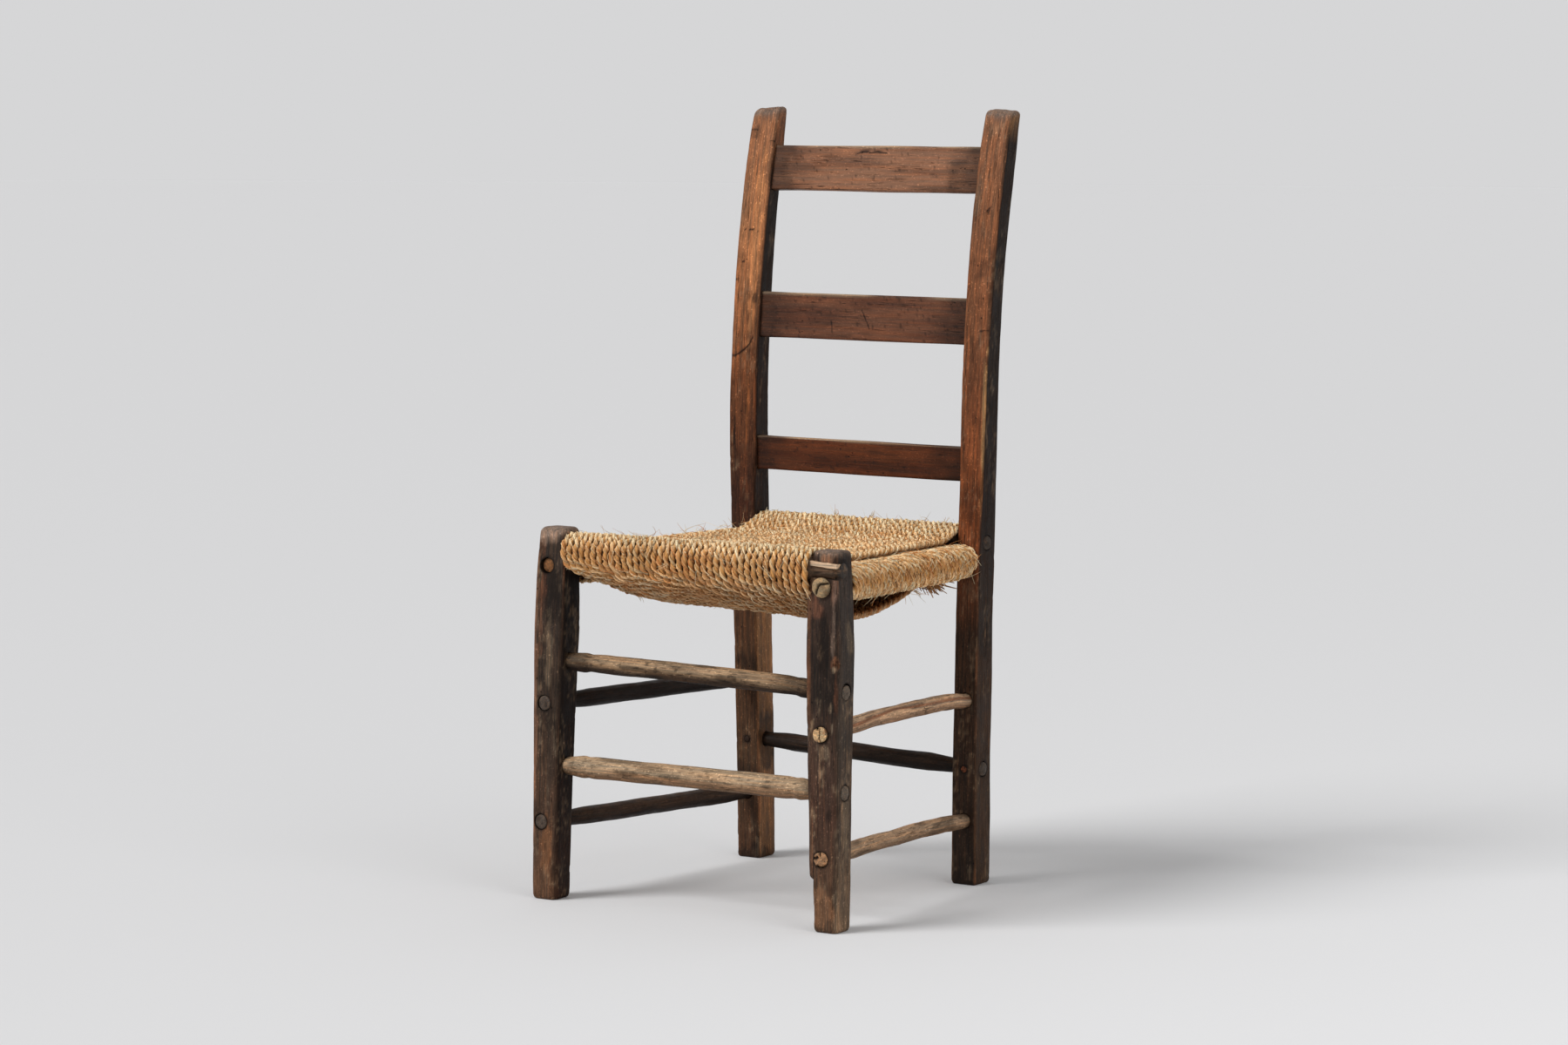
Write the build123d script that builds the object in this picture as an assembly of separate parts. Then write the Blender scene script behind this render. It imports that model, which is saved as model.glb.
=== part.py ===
from build123d import *
import math
import os

# A rustic ladder-back chair: hewn legs, whittled rungs, flat slats and a seat wound with straw cord.
# Millimetres. +Z is up, the chair faces -Y, and left and right are as seen from the front.

# Front legs
FRONT_LEG_HEIGHT = 433.0
FRONT_FOOT_SPACING = 384.6
FRONT_LEAN_IN = 7.5
FRONT_LEAN_BACK = 8.0
FRONT_FOOT_WIDTH = 29.5
FRONT_FOOT_DEPTH = 31.5
FRONT_SHOULDER_Z = 320.0
FRONT_SHOULDER_WIDTH = 38.5
FRONT_SHOULDER_DEPTH = 37.0
FRONT_TOP_WIDTH = 34.0
FRONT_TOP_DEPTH = 33.0

# Rear posts, which stand a little to the right, with the left side of the chair deeper than the right
POST_ABOVE_TOP_SLAT = 71.5
REAR_FOOT_SPACING = 317.0
REAR_FOOT_OFFSET = 6.0
LEFT_SIDE_DEPTH = 382.0
RIGHT_SIDE_DEPTH = 360.5
REAR_SPLAY = 11.0
REAR_SPLAY_CURVE = 1.5
REAR_RAKE = 8.5
REAR_BEND_Z = 520.0
REAR_SWEEP = 52.5
REAR_FOOT_WIDTH = 33.5
REAR_FOOT_DEPTH = 37.0
REAR_SEAT_DEPTH = 39.0
LEFT_SEAT_WIDTH = 34.0
LEFT_BEND_WIDTH = 38.5
LEFT_BEND_DEPTH = 31.0
LEFT_TOP_WIDTH = 37.5
LEFT_TOP_DEPTH = 24.0
RIGHT_SEAT_WIDTH = 31.0
RIGHT_BEND_WIDTH = 33.0
RIGHT_BEND_DEPTH = 33.0
RIGHT_TOP_WIDTH = 38.0
RIGHT_TOP_DEPTH = 26.0
SWEEP_STATIONS = 7
SPLAY_STATIONS = 5

# Worn edges of the legs
ARRIS_RADIUS = 3.0
TOP_EASE = 5.0

# Back slats: height of the middle of each, and its width from edge to edge
TOP_SLAT_Z = 848.5
TOP_SLAT_HEIGHT = 55.0
MIDDLE_SLAT_Z = 670.5
MIDDLE_SLAT_HEIGHT = 55.0
LOWER_SLAT_Z = 502.5
LOWER_SLAT_HEIGHT = 41.0
SLAT_THICKNESS = 11.0
SLAT_SETBACK = 6.5
SLAT_TENON = 17.0
SLAT_EDGE_RADIUS = 2.5

# Seat rails; the side ones lie lower, so that the tenons pass each other inside the legs
FRONT_RAIL_Z = 410.0
BACK_RAIL_Z = 410.0
SIDE_RAIL_DROP = 21.0
FRONT_RAIL_FORWARD = 6.0
RAIL_DIAMETER = 22.0
RAIL_TENON_DIAMETER = 17.0

# Rungs: heights of the two ends, from the front or the left end, and the thickest diameter
FRONT_UPPER_Z = (280.0, 272.0)
FRONT_LOWER_Z = (157.5, 157.5)
LEFT_UPPER_Z = (232.5, 224.0)
LEFT_LOWER_Z = (91.0, 82.0)
RIGHT_UPPER_Z = (226.5, 222.0)
RIGHT_LOWER_Z = (85.0, 77.0)
REAR_Z = (148.0, 139.5)
FRONT_UPPER_DIAMETER = 22.5
FRONT_LOWER_DIAMETER = 25.5
LEFT_RUNG_DIAMETER = 21.0
RIGHT_RUNG_DIAMETER = 19.0
REAR_RUNG_DIAMETER = 21.5
RUNG_TENON_DIAMETER = 17.0
RUNG_TAPER = 42.0

# How far each tenon stands out of the leg that it passes through
FLUSH = 0.4
LEFT_RAIL_PROUD = -3.0
RIGHT_RAIL_PROUD = 5.0
RIGHT_UPPER_PROUD = 4.0
RIGHT_LOWER_PROUD = 2.0

# Pegs and wedges
PEG_DIAMETER = 7.5
PEG_PROUD = 0.6
STRETCHER_PEG_BACK = 7.0
RAIL_WEDGE_THICKNESS = 3.2
RAIL_WEDGE_DEPTH = 9.0
SPLIT_WEDGE_WIDTH = 13.0
SPLIT_WEDGE_LENGTH = 16.0
SPLIT_WEDGE_HEAD = 3.4
SPLIT_WEDGE_TIP = 1.2
SPLIT_WEDGE_ANGLE = 35.0

# Seat cord; rises and drops are counted from the axes of the rails that it is wound on
CORD_DIAMETER = 11.0
TURNS = 24
SEAT_DISH_RISE = 6.0
BELLY_LEFT_DROP = 51.5
BELLY_RIGHT_DROP = 58.0
BELLY_BACK_DROP = 53.0
BELLY_INSET = 17.0
SIDE_DISH_RISE = 9.0
SIDE_TOP_SLOPE = 0.15

# Fits
JOINT_CLEARANCE = 0.2
SHOULDER_GAP = 0.6
CORD_CLEARANCE = 0.3
CORD_END_GAP = 3.0
STATIONS_PER_TURN = 7
ARC_SAMPLES = 5

REAR_POST_HEIGHT = TOP_SLAT_Z + POST_ABOVE_TOP_SLAT
UP = Vector(0, 0, 1)
FRONT_FOOT_Y = -(LEFT_SIDE_DEPTH + RIGHT_SIDE_DEPTH) / 4
SIDE_DEPTH = {-1: LEFT_SIDE_DEPTH, 1: RIGHT_SIDE_DEPTH}
SIDE_NAME = {-1: "left", 1: "right"}
TINY = 1e-6


def between(a, b, share):
    return a + (b - a) * share


FRONT_SECTIONS = [
    (0.0, FRONT_FOOT_WIDTH, FRONT_FOOT_DEPTH),
    (FRONT_SHOULDER_Z, FRONT_SHOULDER_WIDTH, FRONT_SHOULDER_DEPTH),
    (FRONT_LEG_HEIGHT - TOP_EASE, FRONT_TOP_WIDTH, FRONT_TOP_DEPTH),
]
REAR_TOP_Z = REAR_POST_HEIGHT - TOP_EASE
REAR_SECTIONS = {
    -1: [
        (0.0, REAR_FOOT_WIDTH, REAR_FOOT_DEPTH),
        (BACK_RAIL_Z, LEFT_SEAT_WIDTH, REAR_SEAT_DEPTH),
        (REAR_BEND_Z, LEFT_BEND_WIDTH, LEFT_BEND_DEPTH),
        (REAR_TOP_Z, LEFT_TOP_WIDTH, LEFT_TOP_DEPTH),
    ],
    1: [
        (0.0, REAR_FOOT_WIDTH, REAR_FOOT_DEPTH),
        (BACK_RAIL_Z, RIGHT_SEAT_WIDTH, REAR_SEAT_DEPTH),
        (REAR_BEND_Z, RIGHT_BEND_WIDTH, RIGHT_BEND_DEPTH),
        (REAR_TOP_Z, RIGHT_TOP_WIDTH, RIGHT_TOP_DEPTH),
    ],
}


def section_at(sections, z):
    """Width and depth of a leg at height z."""
    for low, high in zip(sections, sections[1:]):
        if z <= high[0]:
            share = (z - low[0]) / (high[0] - low[0])
            return between(low[1], high[1], share), between(low[2], high[2], share)
    return sections[-1][1:]


def front_leg_axis(side, z):
    """Middle of a front leg at height z; side is -1 on the left and 1 on the right."""
    share = z / FRONT_LEG_HEIGHT
    x = side * (FRONT_FOOT_SPACING / 2 - FRONT_LEAN_IN * share)
    return Vector(x, FRONT_FOOT_Y + FRONT_LEAN_BACK * share, z)


def rear_post_axis(side, z):
    """Middle of a rear post at height z: it splays out to the bend, then sweeps back."""
    below = min(z / REAR_BEND_Z, 1.0)
    above = max(z - REAR_BEND_Z, 0.0) / (REAR_POST_HEIGHT - REAR_BEND_Z)
    wider = section_at(REAR_SECTIONS[side], z)[0] - section_at(REAR_SECTIONS[1], z)[0]
    half = REAR_FOOT_SPACING / 2 + REAR_SPLAY * below**REAR_SPLAY_CURVE - wider / 2
    x = REAR_FOOT_OFFSET + side * half
    y = FRONT_FOOT_Y + SIDE_DEPTH[side] - REAR_RAKE * below + REAR_SWEEP * above**2
    return Vector(x, y, z)


def rear_post_slope(z):
    """How far the post goes back for each millimetre that it rises."""
    if z < REAR_BEND_Z:
        return -REAR_RAKE / REAR_BEND_Z
    return 2 * REAR_SWEEP * (z - REAR_BEND_Z) / (REAR_POST_HEIGHT - REAR_BEND_Z) ** 2


FRONT_PAIR = ("front_leg_left", "front_leg_right")
REAR_PAIR = ("rear_post_left", "rear_post_right")
LEFT_PAIR = ("front_leg_left", "rear_post_left")
RIGHT_PAIR = ("front_leg_right", "rear_post_right")

LEGS = {}
for side in (-1, 1):
    LEGS["front_leg_" + SIDE_NAME[side]] = (front_leg_axis, FRONT_SECTIONS, FRONT_LEG_HEIGHT, side)
    LEGS["rear_post_" + SIDE_NAME[side]] = (rear_post_axis, REAR_SECTIONS[side], REAR_POST_HEIGHT, side)


def leg_axis(leg, z):
    axis, sections, height, side = LEGS[leg]
    return axis(side, z)


def leg_size(leg, z):
    return section_at(LEGS[leg][1], z)


def leg_heights(leg):
    """Heights of the sections that a leg is shaped through."""
    sections = LEGS[leg][1]
    heights = [row[0] for row in sections]
    if leg in REAR_PAIR:
        top = heights[-1]
        heights += [between(REAR_BEND_Z, top, i / SWEEP_STATIONS) for i in range(1, SWEEP_STATIONS)]
        heights += [BACK_RAIL_Z * i / SPLAY_STATIONS for i in range(1, SPLAY_STATIONS)]
    return sorted(heights)


def hewn_leg(leg):
    """A leg shaped through rounded sections, with an eased top."""
    height = LEGS[leg][2]
    faces = []
    for z in leg_heights(leg):
        faces.append(Pos(leg_axis(leg, z)) * RectangleRounded(*leg_size(leg, z), ARRIS_RADIUS))
    body = loft(faces, ruled=True)
    width, depth = leg_size(leg, height)
    cap = RectangleRounded(width - TOP_EASE, depth - TOP_EASE, ARRIS_RADIUS)
    return body + loft([faces[-1], Pos(leg_axis(leg, height)) * cap], ruled=True)


class Rod:
    """A round rail or rung between two legs, with a tenon through each."""

    def __init__(self, legs, heights, diameter, tenon, proud, taper, forward=0.0):
        self.legs = legs
        self.tenon_radius = tenon / 2
        shift = Vector(0, -forward, 0)
        ends = [leg_axis(leg, z) + shift for leg, z in zip(legs, heights)]
        self.along = (ends[1] - ends[0]).normalized()
        sideways = abs(self.along.X) > abs(self.along.Y)
        self.half_legs = [leg_size(leg, z)[0 if sideways else 1] / 2 for leg, z in zip(legs, heights)]
        self.axis_ends = ends
        self.start = ends[0] - self.along * (self.half_legs[0] + proud[0])
        self.length = (ends[1] - ends[0]).length + sum(self.half_legs) + sum(proud)
        self.radius = diameter / 2
        self.taper = taper
        skew = math.tan(math.radians(self.along.get_angle(Vector(1, 0, 0) if sideways else Vector(0, 1, 0))))
        clear = SHOULDER_GAP + self.radius * skew
        self.shoulders = [2 * half + out + clear for half, out in zip(self.half_legs, proud)]

    def place(self, shape, distance=0.0):
        """Put a shape that is made about +Z onto the rod, at a distance from its first end."""
        return Plane(origin=self.start + self.along * distance, z_dir=self.along).location * shape

    def solid(self):
        first, last = self.shoulders[0], self.length - self.shoulders[1]
        outline = [
            (0, 0),
            (self.tenon_radius, 0),
            (self.tenon_radius, first),
            (self.radius, first + self.taper),
            (self.radius, last - self.taper),
            (self.tenon_radius, last),
            (self.tenon_radius, self.length),
            (0, self.length),
        ]
        profile = make_face(Plane.XZ * Polyline(*outline, close=True))
        return self.place(revolve(profile, Axis.Z))

    def mortise(self):
        """The round hole that the tenons need, long enough to pass through both legs."""
        margin = RAIL_DIAMETER
        hole = Cylinder(self.tenon_radius + JOINT_CLEARANCE, self.length + 2 * margin)
        return self.place(hole, self.length / 2)

    def height_at(self, x=None, y=None):
        """Height of the rod's axis where it passes a given x or y."""
        a, b = self.axis_ends
        share = (x - a.X) / (b.X - a.X) if y is None else (y - a.Y) / (b.Y - a.Y)
        return between(a.Z, b.Z, share)


def rail(legs, heights, proud=(FLUSH, FLUSH), forward=0.0):
    return Rod(legs, heights, RAIL_DIAMETER, RAIL_TENON_DIAMETER, proud, 0.0, forward)


def rung(legs, heights, diameter, proud=(FLUSH, FLUSH)):
    return Rod(legs, heights, diameter, RUNG_TENON_DIAMETER, proud, RUNG_TAPER)


SIDE_RAIL_Z = (FRONT_RAIL_Z - SIDE_RAIL_DROP, BACK_RAIL_Z - SIDE_RAIL_DROP)
RODS = {
    "front_seat_rail": rail(FRONT_PAIR, (FRONT_RAIL_Z, FRONT_RAIL_Z), forward=FRONT_RAIL_FORWARD),
    "back_seat_rail": rail(REAR_PAIR, (BACK_RAIL_Z, BACK_RAIL_Z)),
    "left_seat_rail": rail(LEFT_PAIR, SIDE_RAIL_Z, (LEFT_RAIL_PROUD, FLUSH)),
    "right_seat_rail": rail(RIGHT_PAIR, SIDE_RAIL_Z, (RIGHT_RAIL_PROUD, FLUSH)),
    "front_stretcher_upper": rung(FRONT_PAIR, FRONT_UPPER_Z, FRONT_UPPER_DIAMETER),
    "front_stretcher_lower": rung(FRONT_PAIR, FRONT_LOWER_Z, FRONT_LOWER_DIAMETER),
    "left_stretcher_upper": rung(LEFT_PAIR, LEFT_UPPER_Z, LEFT_RUNG_DIAMETER),
    "left_stretcher_lower": rung(LEFT_PAIR, LEFT_LOWER_Z, LEFT_RUNG_DIAMETER),
    "right_stretcher_upper": rung(RIGHT_PAIR, RIGHT_UPPER_Z, RIGHT_RUNG_DIAMETER, (RIGHT_UPPER_PROUD, FLUSH)),
    "right_stretcher_lower": rung(RIGHT_PAIR, RIGHT_LOWER_Z, RIGHT_RUNG_DIAMETER, (RIGHT_LOWER_PROUD, FLUSH)),
    "rear_stretcher": rung(REAR_PAIR, REAR_Z, REAR_RUNG_DIAMETER),
}


def slat_plane(z):
    """Plane of a slat's middle, tilted with the posts, and the clear span between the posts."""
    seats = []
    for leg in REAR_PAIR:
        centre = leg_axis(leg, z)
        front = centre.Y - leg_size(leg, z)[1] / 2
        seats.append(Vector(centre.X, front + SLAT_SETBACK + SLAT_THICKNESS / 2, z))
    along = seats[1] - seats[0]
    span = along.length - sum(leg_size(leg, z)[0] for leg in REAR_PAIR) / 2
    upward = Vector(0, rear_post_slope(z), 1)
    upward = upward - along * (upward.dot(along) / along.length**2)
    plane = Plane(origin=(seats[0] + seats[1]) / 2, x_dir=along, z_dir=upward)
    return plane, span


def slat(z, height):
    plane, span = slat_plane(z)
    board = Box(span + 2 * SLAT_TENON, SLAT_THICKNESS, height)
    return plane.location * fillet(board.edges().filter_by(Axis.X), SLAT_EDGE_RADIUS)


def slat_mortise(z, height):
    plane, span = slat_plane(z)
    room = 2 * JOINT_CLEARANCE
    return plane.location * Box(span + 2 * SLAT_TENON + room, SLAT_THICKNESS + room, height + room)


SLATS = {
    "top_slat": (TOP_SLAT_Z, TOP_SLAT_HEIGHT),
    "middle_slat": (MIDDLE_SLAT_Z, MIDDLE_SLAT_HEIGHT),
    "lower_slat": (LOWER_SLAT_Z, LOWER_SLAT_HEIGHT),
}


class Peg:
    """A round cross peg through a post and the tenon inside it."""

    def __init__(self, leg, rod, sideways, back=0.0):
        self.leg = leg
        self.rod = rod
        rough = leg_axis(leg, RODS[rod].axis_ends[list(RODS[rod].legs).index(leg)].Z)
        point = rough + Vector(0, back, 0)
        z = RODS[rod].height_at(y=point.Y) if sideways else RODS[rod].height_at(x=point.X)
        self.centre = Vector(point.X, point.Y, z)
        self.direction = Vector(1, 0, 0) if sideways else Vector(0, 1, 0)
        self.length = leg_size(leg, z)[0 if sideways else 1] + 2 * PEG_PROUD

    def solid(self, room=0.0):
        return Plane(origin=self.centre, z_dir=self.direction).location * Cylinder(
            PEG_DIAMETER / 2 + room, self.length + 2 * room
        )


PEGS = {
    "rear_stretcher_peg_left": Peg("rear_post_left", "rear_stretcher", False),
    "rear_stretcher_peg_right": Peg("rear_post_right", "rear_stretcher", False),
    "left_stretcher_peg": Peg("rear_post_left", "left_stretcher_upper", True, STRETCHER_PEG_BACK),
}


def split_wedge(room=0.0):
    """Tapered slip driven into the end of the right seat rail's front tenon."""
    width = SPLIT_WEDGE_WIDTH + 2 * room
    head = Rectangle(width, SPLIT_WEDGE_HEAD + 2 * room)
    tip = Pos(0, 0, SPLIT_WEDGE_LENGTH + room) * Rectangle(width, SPLIT_WEDGE_TIP + 2 * room)
    return RODS["right_seat_rail"].place(Rot(0, 0, SPLIT_WEDGE_ANGLE) * loft([head, tip], ruled=True))


BROKEN_LEG = "front_leg_right"


def broken_front():
    """The break across the front of the right front leg that lays the rail's tenon bare."""
    rod = RODS["front_seat_rail"]
    centre = rod.axis_ends[1]
    low = centre.Z - rod.tenon_radius - JOINT_CLEARANCE
    high = centre.Z + rod.tenon_radius + RAIL_WEDGE_THICKNESS + 2 * JOINT_CLEARANCE
    reach = leg_size(BROKEN_LEG, centre.Z)[0] + RAIL_DIAMETER
    box = Box(reach, reach, high - low, align=(Align.CENTER, Align.MAX, Align.MIN))
    return Pos(centre.X, centre.Y, low) * box


def front_rail_wedge():
    """Slip of wood that lies on the bared tenon, under the top of the broken leg."""
    rod = RODS["front_seat_rail"]
    centre = rod.axis_ends[1]
    width = leg_size(BROKEN_LEG, centre.Z)[0]
    bottom = centre.Z + rod.tenon_radius + JOINT_CLEARANCE
    slip = Box(width, RAIL_WEDGE_DEPTH, RAIL_WEDGE_THICKNESS, align=(Align.CENTER, Align.MAX, Align.MIN))
    return Pos(centre.X, centre.Y - JOINT_CLEARANCE, bottom) * slip


def tangent_arc(start, tangent, end):
    """An arc from start, leaving along tangent, to end."""
    chord = end - start
    rise = tangent - chord * (tangent.dot(chord) / chord.length**2)
    if rise.length < TINY:
        return Line(start, end)
    half_turn = math.atan2(rise.length, tangent.dot(chord) / chord.length)
    apex = start + chord / 2 + rise.normalized() * (chord.length / 2 * math.tan(half_turn / 2))
    return ThreePointArc(start, apex, end)


def biarc(start, start_tangent, end, end_tangent):
    """Two tangent arcs that join two points along their given directions."""
    chord = end - start
    reach = chord.dot(start_tangent + end_tangent)
    bend = 2 * (1 - start_tangent.dot(end_tangent))
    if bend < TINY:
        step = chord.dot(chord) / (2 * reach)
    else:
        step = (math.sqrt(reach**2 + bend * chord.dot(chord)) - reach) / bend
    middle = (start + end + (start_tangent - end_tangent) * step) / 2
    middle_tangent = (middle - start - start_tangent * step).normalized()
    return [tangent_arc(start, start_tangent, middle), tangent_arc(middle, middle_tangent, end)]


COIL_RADIUS = RAIL_DIAMETER / 2 + CORD_DIAMETER / 2 + CORD_CLEARANCE


def coil_point(rod, turn):
    """Where a turn of the cord crosses a rail's axis, counted from the rail's first end."""
    inset = CORD_DIAMETER / 2 + CORD_END_GAP
    first, last = rod.axis_ends
    first = first + rod.along * (rod.half_legs[0] + inset)
    last = last - rod.along * (rod.half_legs[1] + inset)
    return first + (last - first) * (turn / (TURNS - 1))


def wound_stations(near_rod, far_rod, dish_rise, near_drop, far_drop, inset, slope):
    """Points and directions of one cord, wound over two rails and coming back beneath them."""
    near = [coil_point(near_rod, turn) for turn in range(TURNS)]
    far = [coil_point(far_rod, turn) for turn in range(TURNS)]
    stations = []
    for turn in range(TURNS):
        inward = far[turn] - near[turn]
        inward = Vector(inward.X, inward.Y, 0).normalized()
        share = turn / (TURNS - 1)
        near_low = near[turn] + inward * inset
        near_low -= UP * between(*near_drop, share)
        far_low = far[turn] - inward * inset
        far_low -= UP * between(*far_drop, share)
        dish = (near[turn] + far[turn]) / 2 + UP * dish_rise
        outward_rise = (UP * slope - inward).normalized()
        inward_fall = (UP * -slope - inward).normalized()
        stations += [
            [far_low, inward],
            [far[turn] + inward * COIL_RADIUS, UP],
            [far[turn] + UP * COIL_RADIUS, inward_fall],
            [dish, inward * -1],
            [near[turn] + UP * COIL_RADIUS, outward_rise],
            [near[turn] - inward * COIL_RADIUS, UP * -1],
            [near_low, inward],
        ]
    turn_ends = stations[STATIONS_PER_TURN - 1::STATIONS_PER_TURN]
    turn_starts = stations[STATIONS_PER_TURN::STATIONS_PER_TURN]
    for last, following in zip(turn_ends, turn_starts):
        straight = (following[0] - last[0]).normalized()
        last[1] = straight
        following[1] = straight
    return stations


def wound_path(stations):
    """The cord's centre line: tangent arcs through the stations, with a straight tail at each end."""
    first_point, first_way = stations[0]
    last_point, last_way = stations[-1]
    edges = [Line(first_point - first_way * CORD_DIAMETER, first_point)]
    for (start, way), (end, end_way) in zip(stations, stations[1:]):
        edges += biarc(start, way, end, end_way)
    edges.append(Line(last_point, last_point + last_way * CORD_DIAMETER))
    return edges


def least_gap(edges):
    """Clear distance between neighbouring turns, and the tightest bend, measured on the centre line."""
    per_turn = 2 * STATIONS_PER_TURN
    turns = [edges[i:i + per_turn] for i in range(1, len(edges) - 1, per_turn)]
    points = [[edge @ (k / ARC_SAMPLES) for edge in turn for k in range(ARC_SAMPLES)] for turn in turns]
    nearest = min(
        math.dist(tuple(a), tuple(b))
        for here, there in zip(points, points[1:])
        for a in here
        for b in there[:-1]
    )
    tightest = min(edge.radius for edge in edges if edge.geom_type == GeomType.CIRCLE)
    return nearest - CORD_DIAMETER, tightest


def wound_cord(name, stations):
    edges = wound_path(stations)
    gap, tightest = least_gap(edges)
    start = Plane(origin=edges[0] @ 0, z_dir=edges[0] % 0)
    tube = sweep(start * Circle(CORD_DIAMETER / 2), path=Wire(edges))
    length = sum(edge.length for edge in edges)
    expected = length * math.pi * CORD_DIAMETER**2 / 4
    print(name, "gap", round(gap, 2), "tightest bend", round(tightest, 2), "length", round(length))
    print(name, "volume", round(tube.volume), "section times length", round(expected))
    return tube


def seat_cords():
    front, back = RODS["front_seat_rail"], RODS["back_seat_rail"]
    left, right = RODS["left_seat_rail"], RODS["right_seat_rail"]
    front_drop = (BELLY_LEFT_DROP, BELLY_RIGHT_DROP)
    back_drop = (BELLY_BACK_DROP, BELLY_BACK_DROP)
    side_drop = (COIL_RADIUS, COIL_RADIUS)
    lengthwise = wound_stations(front, back, SEAT_DISH_RISE, front_drop, back_drop, BELLY_INSET, 0.0)
    crosswise = wound_stations(right, left, SIDE_DISH_RISE, side_drop, side_drop, 0.0, SIDE_TOP_SLOPE)
    return {"seat_cord_front_to_back": lengthwise, "seat_cord_side_to_side": crosswise}


def make_parts():
    parts = {}
    for leg in LEGS:
        solid = hewn_leg(leg)
        for rod in RODS.values():
            if leg in rod.legs:
                solid -= rod.mortise()
        if leg in REAR_PAIR:
            for z, height in SLATS.values():
                solid -= slat_mortise(z, height)
        for peg in PEGS.values():
            if peg.leg == leg:
                solid -= peg.solid(JOINT_CLEARANCE)
        if leg == BROKEN_LEG:
            solid -= broken_front()
        parts[leg] = solid
    for name, (z, height) in SLATS.items():
        parts[name] = slat(z, height)
    for name, rod in RODS.items():
        solid = rod.solid()
        for peg in PEGS.values():
            if peg.rod == name:
                solid -= peg.solid(JOINT_CLEARANCE)
        parts[name] = solid
    parts["right_seat_rail"] -= split_wedge(JOINT_CLEARANCE)
    for name, peg in PEGS.items():
        parts[name] = peg.solid()
    parts["right_rail_wedge"] = split_wedge()
    parts["front_rail_wedge"] = front_rail_wedge()
    for name, stations in seat_cords().items():
        parts[name] = wound_cord(name, stations)
    return parts


def centred(parts):
    """Move the chair so that its origin lies on the floor, under the middle of its box."""
    boxes = [shape.bounding_box() for shape in parts.values()]
    x = (min(box.min.X for box in boxes) + max(box.max.X for box in boxes)) / 2
    y = (min(box.min.Y for box in boxes) + max(box.max.Y for box in boxes)) / 2
    print("moved by", round(-x, 3), round(-y, 3))
    return {name: Pos(-x, -y, 0) * shape for name, shape in parts.items()}


os.makedirs("parts", exist_ok=True)
for name, shape in centred(make_parts()).items():
    export_step(shape, f"parts/{name}.step")
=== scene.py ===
import math
from dataclasses import dataclass

import bpy
import numpy as np
from bpy.props import FloatProperty, FloatVectorProperty, IntProperty, PointerProperty
from mathutils import Matrix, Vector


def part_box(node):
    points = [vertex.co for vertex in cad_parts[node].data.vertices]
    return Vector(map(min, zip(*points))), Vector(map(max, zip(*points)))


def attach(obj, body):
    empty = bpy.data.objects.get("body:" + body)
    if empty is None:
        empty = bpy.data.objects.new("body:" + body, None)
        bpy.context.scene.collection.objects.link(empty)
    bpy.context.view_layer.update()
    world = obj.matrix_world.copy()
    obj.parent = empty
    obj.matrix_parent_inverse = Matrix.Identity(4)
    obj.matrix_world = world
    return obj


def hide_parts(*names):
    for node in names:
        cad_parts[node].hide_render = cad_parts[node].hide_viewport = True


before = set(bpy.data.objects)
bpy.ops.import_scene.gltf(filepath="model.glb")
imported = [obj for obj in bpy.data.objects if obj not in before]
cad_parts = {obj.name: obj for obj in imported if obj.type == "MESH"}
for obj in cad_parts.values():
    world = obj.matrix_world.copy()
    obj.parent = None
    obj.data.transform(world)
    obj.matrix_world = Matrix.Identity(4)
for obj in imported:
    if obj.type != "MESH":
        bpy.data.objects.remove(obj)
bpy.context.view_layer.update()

bl_info = {
    "name": "Rustic ladder-back chair",
    "version": (1, 0, 0),
    "blender": (4, 5, 0),
    "location": "View3D > Sidebar > Chair",
    "description": "Dresses the frame of a hewn ladder-back chair in worn timber and twisted straw cord",
    "category": "Add Mesh",
}

MM = 0.001
UP = np.array([0.0, 0.0, 1.0])
FRONT_CORD = "seat_cord_front_to_back"
SIDE_CORD = "seat_cord_side_to_side"
FRONT_LEGS = ("front_leg_left", "front_leg_right")
REAR_POSTS = ("rear_post_left", "rear_post_right")
SLATS = ("top_slat", "middle_slat", "lower_slat")
RAILS = ("front_seat_rail", "back_seat_rail", "left_seat_rail", "right_seat_rail")
STRETCHERS = (
    "front_stretcher_upper",
    "front_stretcher_lower",
    "left_stretcher_upper",
    "left_stretcher_lower",
    "right_stretcher_upper",
    "right_stretcher_lower",
    "rear_stretcher",
)
PEGS = ("rear_stretcher_peg_left", "rear_stretcher_peg_right", "left_stretcher_peg")
TENON_RADIUS = 8.5 * MM
PEG_RADIUS = 3.75 * MM
# The leg whose broken top leaves the front rail's tenon in the open, with no hole round it
OPEN_JOINT = ("front_leg_right", "front_seat_rail")


def srgb(red, green, blue):
    """Linear colour of a shade given as it looks on a screen, from 0 to 255."""
    share = np.array([red, green, blue]) / 255
    return np.where(share <= 0.04045, share / 12.92, ((share + 0.055) / 1.055) ** 2.4)


SOOT = srgb(26, 20, 17)
HONEY = srgb(158, 110, 74)
BEIGE = srgb(166, 144, 118)
GREY = srgb(112, 98, 88)
RUBBED = srgb(124, 86, 62)
DUST = srgb(150, 132, 110)
RUST = srgb(88, 58, 44)


def step(low, high, value):
    """0 below low, 1 above high, and an eased rise between them."""
    share = np.clip((value - low) / (high - low), 0, 1)
    return share * share * (3 - 2 * share)


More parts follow.
